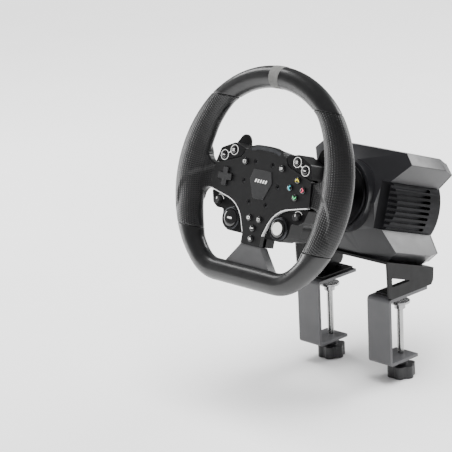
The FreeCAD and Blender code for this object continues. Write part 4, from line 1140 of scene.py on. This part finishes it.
@dataclass
class BoxSizes:
    """Places of the controls on the button box, in the head frame.

    Where a control has a twin, the place is the right one's.
    """

    menu: Flat = (30.0, 22.3)
    pods: dict[str, Flat] = field(
        default_factory=lambda: {"outer": (66.0, 25.0), "inner": (51.5, 33.0)})
    face: Flat = (57.5, 2.3)
    spacing: float = 10.3
    column: dict[str, Flat] = field(
        default_factory=lambda: {"left": (-8.2, -42.0), "right": (8.2, -42.0),
                                 "middle": (0.0, -53.5), "bottom": (0.0, -66.0)})
    dial: Flat = (64.5, -29.5)
    round: Flat = (39.2, -47.4)
    pod_top: float = 0.0
    lower_top: float = -3.0


@dataclass
class MarkSizes:
    """Printed marks: how deep they reach in, how far they stand out, and their lines."""

    deep: float = 0.2
    proud: float = 0.06
    ring_inner: float = 5.6
    ring_outer: float = 6.3
    join_width: float = 0.9
    dial_arc: float = 6.9
    dial_width: float = 0.8
    dial_turns: dict[Side, Flat] = field(
        default_factory=lambda: {Side.LEFT: (15.0, 112.0), Side.RIGHT: (35.0, 140.0)})
    emblem_bars: int = 5
    emblem_left: float = -9.6
    emblem_step: float = 4.1
    emblem_bar: tuple[Flat, ...] = ((0.0, 0.6), (2.2, 0.6), (3.6, 4.6), (1.4, 4.6))
    emblem_heights: Flat = (0.4, 0.66)


@dataclass
class LightSizes:
    """Light strips, given for the right one, and the right half of the window in the arch."""

    strip: tuple[Flat, ...] = ((77.5, -16.6), (28.7, -27.0), (15.5, -60.0))
    strip_bend: float = 40.0
    strip_width: float = 2.2
    strip_heights: Flat = (-5.9, -0.25)
    arch_top: Flat = (0.0, 43.2)
    arch_half: tuple[Flat, ...] = ((7.5, 43.1), (14.5, 42.8), (24.0, 39.6), (23.2, 35.9),
                                   (13.0, 38.6), (6.5, 38.95))
    arch_foot: Flat = (0.0, 39.0)
    arch_heights: Flat = (-1.4, 0.15)
    arch_edge: float = 0.12


@dataclass
class PaddleSizes:
    """The right shift paddle: a plate, an arm from its hinge and a barrel on the pin."""

    inner: tuple[Flat, ...] = ((47.5, 32.0), (54.5, 40.0))
    lobe: tuple[float, ...] = (65.0, 44.0, 9.3, 165.0, 25.0, 18)
    outer: tuple[Flat, ...] = ((79.5, 40.0), (86.0, 33.0))
    lower_outer: tuple[float, ...] = (84.0, -2.0, 6.0, 0.0, -40.0, 6)
    lower_inner: tuple[float, ...] = (76.0, -22.0, 4.0, -20.0, -80.0, 6)
    foot: tuple[Flat, ...] = ((62.0, -28.0), (47.5, -16.0))
    heights: Flat = (-33.0, -30.5)
    arm: tuple[Flat, ...] = ((43.0, 11.5), (49.0, 11.5), (49.0, -11.5), (43.0, -11.5))
    arm_heights: Flat = (-32.9, -30.6)
    pin: Flat = (42.0, -31.75)
    barrel: tuple[Flat, ...] = ((1.56, -11.5), (3.2, -11.5), (3.2, 11.5), (1.56, 11.5))
    barrel_steps: int = 32
    edge: float = 0.35

    def outline(self) -> list[Flat]:
        """Points round the plate.

        Returns:
            The outline of the right paddle.
        """
        line = list(self.inner) + arc(*self.lobe) + list(self.outer)
        return line + arc(*self.lower_outer) + arc(*self.lower_inner) + list(self.foot)


@dataclass
class ScrewSizes:
    """Button-head screw with a hexagon socket; each station is a share of its radius and a drop.

    The head's stations run from its rim to its crown and the socket's from its mouth down.
    """

    circle: float = 27.6
    count: int = 6
    top: float = -0.25
    radius: float = 2.75
    head: tuple[Flat, ...] = ((1.0, 1.6), (1.0, 0.75), (0.93, 0.3), (0.78, 0.05), (0.62, 0.0))
    socket: tuple[Flat, ...] = ((0.46, 0.0), (0.43, 0.12), (0.42, 1.3))
    around: int = 36


@dataclass
class CapSizes:
    """Profile of a round cap: radius, rim height and crown height.

    The shoulder is a share of the radius and a drop below the rim. The dome is shares of the
    radius and of the rise from rim to crown.
    """

    radius: float
    rim: float
    crown: float
    foot: float = -3.2
    shoulder: tuple[Flat, ...] = ((1.0, 0.55), (0.985, 0.25))
    dome: tuple[Flat, ...] = ((0.93, 0.0), (0.82, 0.35), (0.6, 0.68), (0.32, 0.93))

    def profile(self) -> list[Flat]:
        """Outline of the cap.

        Returns:
            Radius and height of each point, from the foot's centre to the crown's centre.
        """
        r, rise = self.radius, self.crown - self.rim
        side = [(r * share, self.rim - drop) for share, drop in self.shoulder]
        top = [(r * share, self.rim + part * rise) for share, part in self.dome]
        return [(0.0, self.foot), (r, self.foot)] + side + top + [(0.0, self.crown)]


def icon_shape(icon: Icon, x: float, y: float, size: float, low: float, high: float) -> Shape:
    """Thin raised mark of a cap.

    Args:
        icon: Which mark.
        x: Centre of the mark.
        y: Centre of the mark.
        size: Half its extent.
        low: Height of its hidden underside.
        high: Height of its printed face.

    Returns:
        The mark's shape.
    """
    shape = Shape()
    if icon is Icon.RING:
        hole = size * 0.55
        shape.lathe([(hole, low), (hole, high), (size, high), (size, low)], x, y, 28, loop=True)
    elif icon is Icon.DISC:
        shape.lathe([(0.0, low), (size, low), (size, high), (0.0, high)], x, y, 40)
    elif icon is Icon.BAR:
        shape.block(x, y, size, size * 0.3, low, high)
    elif icon is Icon.BARS:
        for row in (-0.75, 0.0, 0.75):
            shape.block(x, y + row * size, size, size * 0.2, low, high)
    elif icon is Icon.TRIANGLE:
        foot = y - size * 0.7
        shape.prism([(x - size, foot), (x + size, foot), (x, y + size)], low, high)
    elif icon is Icon.SQUARE:
        corners = [(x - size, y - size), (x + size, y - size), (x + size, y + size),
                   (x - size, y + size)]
        shape.band(corners + corners[:2], size * 0.45, low, high)
    else:
        turn = {Icon.UP: 0.0, Icon.LEFT: 90.0, Icon.DOWN: 180.0, Icon.RIGHT: -90.0}[icon]
        spin = Matrix.Rotation(math.radians(turn), 2)
        chevron = [(-1.0, -0.55), (0.0, 0.45), (1.0, -0.55), (1.0, 0.15), (0.0, 1.15), (-1.0, 0.15)]
        shape.prism([tuple(spin @ Vector((px, py - 0.25)) * size + Vector((x, y)))
                     for px, py in chevron], low, high)
    return shape


def face_skins() -> tuple[Skin, ...]:
    """Moulded and machined parts of the box.

    Returns:
        Their finishes and roundings.
    """
    return (Skin("faceplate", FACE_ABS, 0.45, 3), Skin("hub_housing", SHELL_ABS, 0.5),
            Skin("lower_pod_left", SHELL_ABS, 0.6, 3), Skin("lower_pod_right", SHELL_ABS, 0.6, 3),
            Skin("bottom_spoke_cover", SPOKE_ABS, 2.2, 5), Skin("badge", BADGE, 0.18),
            Skin("direction_pad", SATIN_CAP, 0.45, 3))


@dataclass
class ButtonBox:
    """Face, shells, paddles, marks, light strips and screws of the button box."""

    sizes: BoxSizes = field(default_factory=BoxSizes)
    prints: MarkSizes = field(default_factory=MarkSizes)
    light: LightSizes = field(default_factory=LightSizes)
    shift: PaddleSizes = field(default_factory=PaddleSizes)
    screw: ScrewSizes = field(default_factory=ScrewSizes)

    def shells(self) -> None:
        """Rounded copies of the moulded and machined parts, and two inner parts as they are."""
        build_skins(face_skins())
        paint("wheel_frame", FRAME_COAT)
        paint("pad_gimbal", RUBBER_CAP)

    def paddle(self, side: Side) -> None:
        """One shift paddle.

        Args:
            side: Which paddle.
        """
        p = self.shift
        shape = Shape()
        shape.prism(mirrored(p.outline(), side), *p.heights)
        shape.prism(mirrored(p.arm, side), *p.arm_heights)
        turns = [math.tau * k / p.barrel_steps for k in range(p.barrel_steps)]
        shape.rings([[(side.value * p.pin[0] + r * math.cos(a), y, p.pin[1] + r * math.sin(a))
                      for a in turns] for r, y in p.barrel], cap=False)
        node = "paddle_" + side.word
        plate = make(node + "_plate", shape, PADDLE_COAT, BODY_OF[node], bevel=p.edge)
        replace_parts(plate, node)

    def marks(self) -> None:
        """Printed rings and lines round the pod buttons and arcs beside the dials."""
        s, m = self.sizes, self.prints
        for side in Side:
            shape = Shape()
            low, high = s.pod_top - m.deep, s.pod_top + m.proud
            outer, inner = (Vector((side.value * x, y)) for x, y in s.pods.values())
            for centre in (outer, inner):
                shape.lathe([(m.ring_inner, low), (m.ring_inner, high), (m.ring_outer, high),
                             (m.ring_outer, low)], centre.x, centre.y, 48, loop=True)
            along = (inner - outer).normalized() * (m.ring_outer - 0.1)
            shape.band([tuple(outer + along), tuple(inner - along)], m.join_width, low, high)
            curve = arc(side.value * s.dial[0], s.dial[1], m.dial_arc, *m.dial_turns[side])
            shape.band(curve, m.dial_width, s.lower_top - m.deep, s.lower_top + m.proud)
            make("pod_marks_" + side.word, shape, WHITE_PRINT, "wheel")

    def emblem(self) -> None:
        """Plain mark on the badge: a row of slanted bars."""
        m = self.prints
        shape = Shape()
        for n in range(m.emblem_bars):
            left = m.emblem_left + m.emblem_step * n
            shape.prism([(left + x, y) for x, y in m.emblem_bar], *m.emblem_heights)
        make("badge_mark", shape, WHITE_PRINT, "wheel")

    def lights(self) -> None:
        """White strips along the lower edges of the face and the smoked window in its arch."""
        g = self.light
        strips = Shape()
        for side in Side:
            line = mirrored(bent(*g.strip, g.strip_bend), side)
            strips.band(line, g.strip_width, *g.strip_heights)
        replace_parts(make("light_strips", strips, LIGHT_PIPE, "wheel"), "light_guides")
        left_half = mirrored(g.arch_half[::-1], Side.LEFT)
        window = Shape()
        window.prism([g.arch_top] + list(g.arch_half) + [g.arch_foot] + left_half, *g.arch_heights)
        piece = make("arch_window", window, ARCH_PIPE, "wheel", bevel=g.arch_edge)
        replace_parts(piece, "light_guides")

    def hex_screw(self, shape: Shape, x: float, y: float) -> None:
        """Add one button-head screw with a hexagon socket, seen along z.

        Args:
            shape: The shape that it is added to.
            x: Its centre.
            y: Its centre.
        """
        w = self.screw
        facet = math.pi / 3.0
        rings = []
        for stations, hexagon in ((w.head, False), (w.socket, True)):
            for share, drop in stations:
                ring = []
                for i in range(w.around):
                    a = math.tau * i / w.around
                    r = w.radius * share
                    if hexagon:
                        r = r / math.cos((a + facet / 2.0) % facet - facet / 2.0)
                    ring.append((x + r * math.cos(a), y + r * math.sin(a), w.top - drop))
                rings.append(ring)
        shape.rings(rings)

    def screws(self) -> None:
        """The screws round the badge."""
        w = self.screw
        shape = Shape()
        for n in range(w.count):
            a = math.radians(360.0 / w.count * n)
            self.hex_screw(shape, w.circle * math.cos(a), w.circle * math.sin(a))
        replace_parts(make("hub_screw_heads", shape, BLACK_OXIDE, "wheel"), "hub_screws")

    def build(self) -> None:
        """Make every part of the box."""
        self.shells()
        for side in Side:
            self.paddle(side)
        self.marks()
        self.emblem()
        self.lights()
        self.screws()
        LOG.info("button box: paddles, marks, emblem, lights and screws made")


@dataclass
class ControlSizes:
    """Profiles of the caps, extents of their marks, the bezels and the dials.

    The bezel is radius and height of its outline. The knurl is radius, height and cut of each
    ring of a dial; of every four points round a ring, two are cut in.
    """

    plate_cap: CapSizes = field(default_factory=lambda: CapSizes(4.0, 1.35, 1.9))
    pod_cap: CapSizes = field(default_factory=lambda: CapSizes(4.0, 1.0, 1.5))
    round_cap: CapSizes = field(default_factory=lambda: CapSizes(10.4, 0.3, 1.15, -6.0))
    arrow: float = 2.7
    plain_mark: float = 2.0
    small_mark: float = 1.5
    pod_mark: float = 1.7
    wide_bar: float = 3.6
    wide_disc: float = 7.6
    mark_deep: float = 0.5
    mark_proud: float = 0.03
    bezel: tuple[Flat, ...] = ((10.8, -6.0), (10.8, -1.6), (11.5, -0.6), (12.3, -0.2),
                               (13.3, -0.3), (14.1, -1.1), (14.1, -2.4), (13.0, -6.0))
    knurl: tuple[Point, ...] = ((2.2, -2.9, 0.0), (4.2, -2.7, 0.0), (4.5, -2.3, 0.3),
                                (4.5, 1.7, 0.3), (4.15, 2.2, 0.1), (3.6, 2.4, 0.0),
                                (2.9, 2.25, 0.0), (0.001, 2.2, 0.0))
    knurl_points: int = 72
    dial_line: tuple[float, ...] = (2.0, 0.45, 1.4, 2.1, 2.48)


@dataclass
class Controls:
    """Every cap, mark and dial that the driver touches."""

    sizes: BoxSizes = field(default_factory=BoxSizes)
    parts: ControlSizes = field(default_factory=ControlSizes)

    def cap(self, node: str, at: Flat, cap: CapSizes, icon: Icon, extent: float,
            print_ink: Finish = WHITE_PRINT) -> None:
        """One round push button with its printed mark.

        Args:
            node: The CAD node that the cap stands for, also the body that it rides on.
            at: Its centre.
            cap: Its profile.
            icon: Its mark.
            extent: Half the mark's size.
            print_ink: Finish of the mark.
        """
        shape = Shape()
        shape.lathe(cap.profile(), *at, 44)
        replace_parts(make(node + "_cap", shape, GLOSS_CAP, BODY_OF[node]), node)
        low, high = cap.crown - self.parts.mark_deep, cap.crown + self.parts.mark_proud
        mark = icon_shape(icon, *at, extent, low, high)
        make(node + "_mark", mark, print_ink, BODY_OF[node])
        LOG.info("%s: %s on %s", node, icon.value, GLOSS_CAP.name)

    def plate_buttons(self) -> None:
        """The buttons that come through the faceplate."""
        s, p = self.sizes, self.parts
        for name, icon, colour, dx, dy in (("top", Icon.UP, YELLOW_INK, 0, 1),
                                           ("left", Icon.LEFT, CYAN_INK, -1, 0),
                                           ("right", Icon.RIGHT, RED_INK, 1, 0),
                                           ("bottom", Icon.DOWN, GREEN_INK, 0, -1)):
            at = (s.face[0] + dx * s.spacing, s.face[1] + dy * s.spacing)
            self.cap("face_button_" + name, at, p.plate_cap, icon, p.arrow, colour)
        for (name, at), icon, extent in zip(
                s.column.items(), (Icon.RING, Icon.SQUARE, Icon.BAR, Icon.TRIANGLE),
                (p.plain_mark, p.small_mark, p.plain_mark, p.plain_mark)):
            self.cap("column_button_" + name, at, p.plate_cap, icon, extent)
        for side in Side:
            icon = Icon.BARS if side is Side.RIGHT else Icon.SQUARE
            at = (side.value * s.menu[0], s.menu[1])
            self.cap("menu_button_" + side.word, at, p.plate_cap, icon, p.small_mark)

    def pod_buttons(self) -> None:
        """The four ringed buttons of the upper pods."""
        p = self.parts
        for side in Side:
            for name, (x, y) in self.sizes.pods.items():
                icon = Icon.BAR if name == "outer" else Icon.BARS
                node = "pod_button_%s_%s" % (side.word, name)
                self.cap(node, (side.value * x, y), p.pod_cap, icon, p.pod_mark)

    def round_buttons(self) -> None:
        """The two big thumb buttons and their bright bezels."""
        p = self.parts
        x, y = self.sizes.round
        for side, icon, extent in ((Side.LEFT, Icon.BAR, p.wide_bar),
                                   (Side.RIGHT, Icon.DISC, p.wide_disc)):
            at = (side.value * x, y)
            self.cap("round_button_" + side.word, at, p.round_cap, icon, extent)
            shape = Shape()
            shape.lathe(p.bezel, *at, 64, loop=True)
            make("bezel_" + side.word, shape, BEZEL, "wheel")

    def dials(self) -> None:
        """The two small knurled dials, each with a printed line."""
        p = self.parts
        x, y = self.sizes.dial
        off, wide, tall, low, high = p.dial_line
        for side in Side:
            node = "side_dial_" + side.word
            middle = side.value * x
            rings = []
            for radius, height, cut in p.knurl:
                ring = []
                for i in range(p.knurl_points):
                    r = radius - cut * (1.0 if i % 4 in (0, 1) else 0.0)
                    a = math.tau * i / p.knurl_points
                    ring.append((middle + r * math.cos(a), y + r * math.sin(a), height))
                rings.append(ring)
            shape = Shape()
            shape.rings(rings)
            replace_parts(make(node + "_knurl", shape, RUBBER_CAP, BODY_OF[node]), node)
            line = Shape()
            line.block(middle, y + off, wide, tall, low, high)
            make(node + "_line", line, WHITE_PRINT, BODY_OF[node])

    def build(self) -> None:
        """Make every control."""
        self.plate_buttons()
        self.pod_buttons()
        self.round_buttons()
        self.dials()
        LOG.info("controls: bezels and dials made")


# ---------------------------------------------------------------- base and stand

@dataclass
class QuickRelease:
    """Adapter, release body, sliding knurled collar and shaft between the wheel and the base."""

    radius: float = 38.9
    inner: float = 33.4
    front: float = -66.0
    back: float = -84.0
    chamfer: float = 1.4
    land: float = 3.0
    run_out: float = 0.6
    ridges: int = 44
    ridge_depth: float = 0.8
    points_per_ridge: int = 6
    rounded: tuple[Skin, ...] = (Skin("hub_adapter", ANODISED, 0.6),
                                 Skin("quick_release", ANODISED, 0.5),
                                 Skin("drive_shaft", SHAFT_STEEL))

    def half(self, end: float, inwards: float) -> list[Point]:
        """Radius, height and ridge depth from one end face of the collar to its ridges.

        Args:
            end: Height of the end face.
            inwards: Sign of the direction from it to the collar's middle.

        Returns:
            The stations, starting at the bore.
        """
        r, start = self.radius, self.land * inwards
        return [(self.inner, end, 0.0), (r - self.chamfer, end, 0.0),
                (r, end + self.chamfer * inwards, 0.0), (r, end + start, 0.0),
                (r, end + start + self.run_out * inwards, self.ridge_depth)]

    def collar(self) -> None:
        """The knurled collar."""
        count = self.ridges * self.points_per_ridge
        middle = (self.radius, (self.front + self.back) / 2.0, self.ridge_depth)
        rings = []
        for radius, height, depth in (self.half(self.front, -1.0) + [middle]
                                      + self.half(self.back, 1.0)[::-1]):
            ring = []
            for i in range(count):
                a = math.tau * i / count
                r = radius - depth * (0.5 - 0.5 * math.cos(a * self.ridges)) ** 2
                ring.append((r * math.cos(a), r * math.sin(a), height))
            rings.append(ring)
        shape = Shape()
        shape.rings(rings, cap=False)
        node = "release_collar"
        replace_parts(make(node + "_knurl", shape, ANODISED, BODY_OF[node]), node)

    def build(self) -> None:
        """Make the collar and round the turned parts."""
        self.collar()
        build_skins(self.rounded)
        LOG.info("quick release: collar made")


@dataclass
class MotorBase:
    """The faceted motor housing with its fins, grille, cover and sockets."""

    rounded: tuple[Skin, ...] = (Skin("base_housing", HOUSING_PAINT, 0.7, 3),
                                 Skin("fin_panel_left", ANODISED),
                                 Skin("fin_panel_right", ANODISED),
                                 Skin("top_vent_panel", SHELL_ABS, 0.3),
                                 Skin("base_rear_cover", SHELL_ABS, 0.5),
                                 Skin("neck_ring", ANODISED, 0.8, 3),
                                 Skin("power_button", GLOSS_CAP),
                                 Skin("base_screws", BLACK_OXIDE, 0.25))

    def build(self) -> None:
        """Round every part of the base and finish what stays as it is."""
        build_skins(self.rounded)
        paint("rear_sockets", SOCKET_PBT)
        paint("motor_stator", COPPER)
        paint("shaft_bearings", STEEL)
        LOG.info("motor base: sockets, stator and bearings painted")


@dataclass
class DeskClamps:
    """Bracket, clamp frames, clamp rods, pads and star knobs."""

    rounded: tuple[Skin, ...] = (Skin("mounting_bracket", BRACKET_COAT, 0.5, 3),
                                 Skin("clamp_frame_left", CLAMP_COAT, 0.6, 3),
                                 Skin("clamp_frame_right", CLAMP_COAT, 0.6, 3),
                                 Skin("clamp_pad_left", STEEL, 0.5),
                                 Skin("clamp_pad_right", STEEL, 0.5),
                                 Skin("clamp_screw_left", ZINC, 0.3),
                                 Skin("clamp_screw_right", ZINC, 0.3),
                                 Skin("star_knob_left", KNOB_NYLON, 1.4, 4),
                                 Skin("star_knob_right", KNOB_NYLON, 1.4, 4))

    def build(self) -> None:
        """Round every part of the stand."""
        build_skins(self.rounded)


# ---------------------------------------------------------------- studio

@dataclass(frozen=True)
class LampSizes:
    """One soft light: where it hangs, where it looks, its size in metres and its power in watts."""

    name: str
    at: Point
    to: Point
    wide: float
    high: float
    watts: float


@dataclass
class Studio:
    """Camera, pale floor and soft lights; distances in metres, angles in degrees."""

    azimuth: float = 46.01
    elevation: float = 16.5
    roll: float = -2.8
    lens: float = 153.2
    sensor: float = 36.0
    distance: float = 2.2624
    shift: Flat = (-0.0407, -0.0499)
    paper_half: float = 8.0
    paper_gap: float = 0.0004
    sky: float = 0.3
    sun_from: Point = (0.1, -0.15, 1.0)
    sun_strength: float = 6.5
    sun_angle: float = 50.0
    lamps: tuple[LampSizes, ...] = (
        LampSizes("back_panel", (0.5, 1.95, 1.0), (0.0, 0.0, 0.12), 1.3, 0.9, 34.0),
        LampSizes("high_left", (-1.5, 0.1, 1.5), (0.0, -0.1, 0.15), 0.6, 1.2, 16.0),
        LampSizes("left_low", (-1.9, -0.55, 0.3), (0.0, -0.1, 0.1), 0.7, 0.7, 15.0),
    )

    def camera(self) -> None:
        """Place the camera so that the hub falls where the view needs it."""
        a, e, r = (math.radians(v) for v in (self.azimuth, self.elevation, self.roll))
        back = Vector((math.sin(a) * math.cos(e), -math.cos(a) * math.cos(e), math.sin(e)))
        flat = Vector((math.cos(a), math.sin(a), 0.0))
        steep = back.cross(flat)
        right = flat * math.cos(r) + steep * math.sin(r)
        up = steep * math.cos(r) - flat * math.sin(r)
        place = Matrix((right, up, back)).transposed().to_4x4()
        place.translation = (HEAD.translation + right * self.shift[0] + up * self.shift[1]
                             + back * self.distance)
        data = bpy.data.cameras.new("camera")
        data.lens = self.lens
        data.sensor_width = self.sensor
        camera = link("camera", data)
        camera.matrix_world = place
        bpy.context.scene.camera = camera

    def floor(self) -> None:
        """Large sheet of pale paper just under the knobs."""
        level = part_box("star_knob_left")[0].z - self.paper_gap
        mesh = bpy.data.meshes.new("paper")
        work = bmesh.new()
        bmesh.ops.create_grid(work, x_segments=4, y_segments=4, size=self.paper_half)
        bmesh.ops.translate(work, verts=work.verts, vec=(0.0, 0.0, level))
        work.to_mesh(mesh)
        work.free()
        paper = link("paper", mesh)
        paper.data.materials.append(material_of(PAPER_FLOOR))

    def lights(self) -> None:
        """Area lights and a white surround."""
        for lamp in self.lamps:
            data = bpy.data.lights.new(lamp.name, "AREA")
            data.shape = "RECTANGLE"
            data.size, data.size_y = lamp.wide, lamp.high
            data.energy = lamp.watts
            aim = (Vector(lamp.to) - Vector(lamp.at)).to_track_quat("-Z", "Y")
            item = link(lamp.name, data)
            item.matrix_world = Matrix.Translation(lamp.at) @ aim.to_matrix().to_4x4()
        sun = bpy.data.lights.new("sky_panel", "SUN")
        sun.energy = self.sun_strength
        sun.angle = math.radians(self.sun_angle)
        item = link("sky_panel", sun)
        item.visible_glossy = False
        item.rotation_mode = "QUATERNION"
        item.rotation_quaternion = Vector(self.sun_from).to_track_quat("Z", "Y")
        world = bpy.data.worlds.new("surround")
        world.use_nodes = True
        background = world.node_tree.nodes["Background"]
        background.inputs["Color"].default_value = (1.0, 1.0, 1.0, 1.0)
        background.inputs["Strength"].default_value = self.sky
        bpy.context.scene.world = world

    def build(self) -> None:
        """Set up the studio."""
        self.camera()
        self.floor()
        self.lights()
        LOG.info("studio made")


def main() -> None:
    """Build the studio and every sub-assembly in order."""
    logging.basicConfig(level=logging.INFO, format="%(name)s: %(message)s")
    box = BoxSizes()
    for assembly in (Studio(), SteeringRim(), ButtonBox(box), Controls(box), QuickRelease(),
                     MotorBase(), DeskClamps()):
        LOG.info("building %s", type(assembly).__name__)
        assembly.build()


if __name__ == "__main__":
    main()
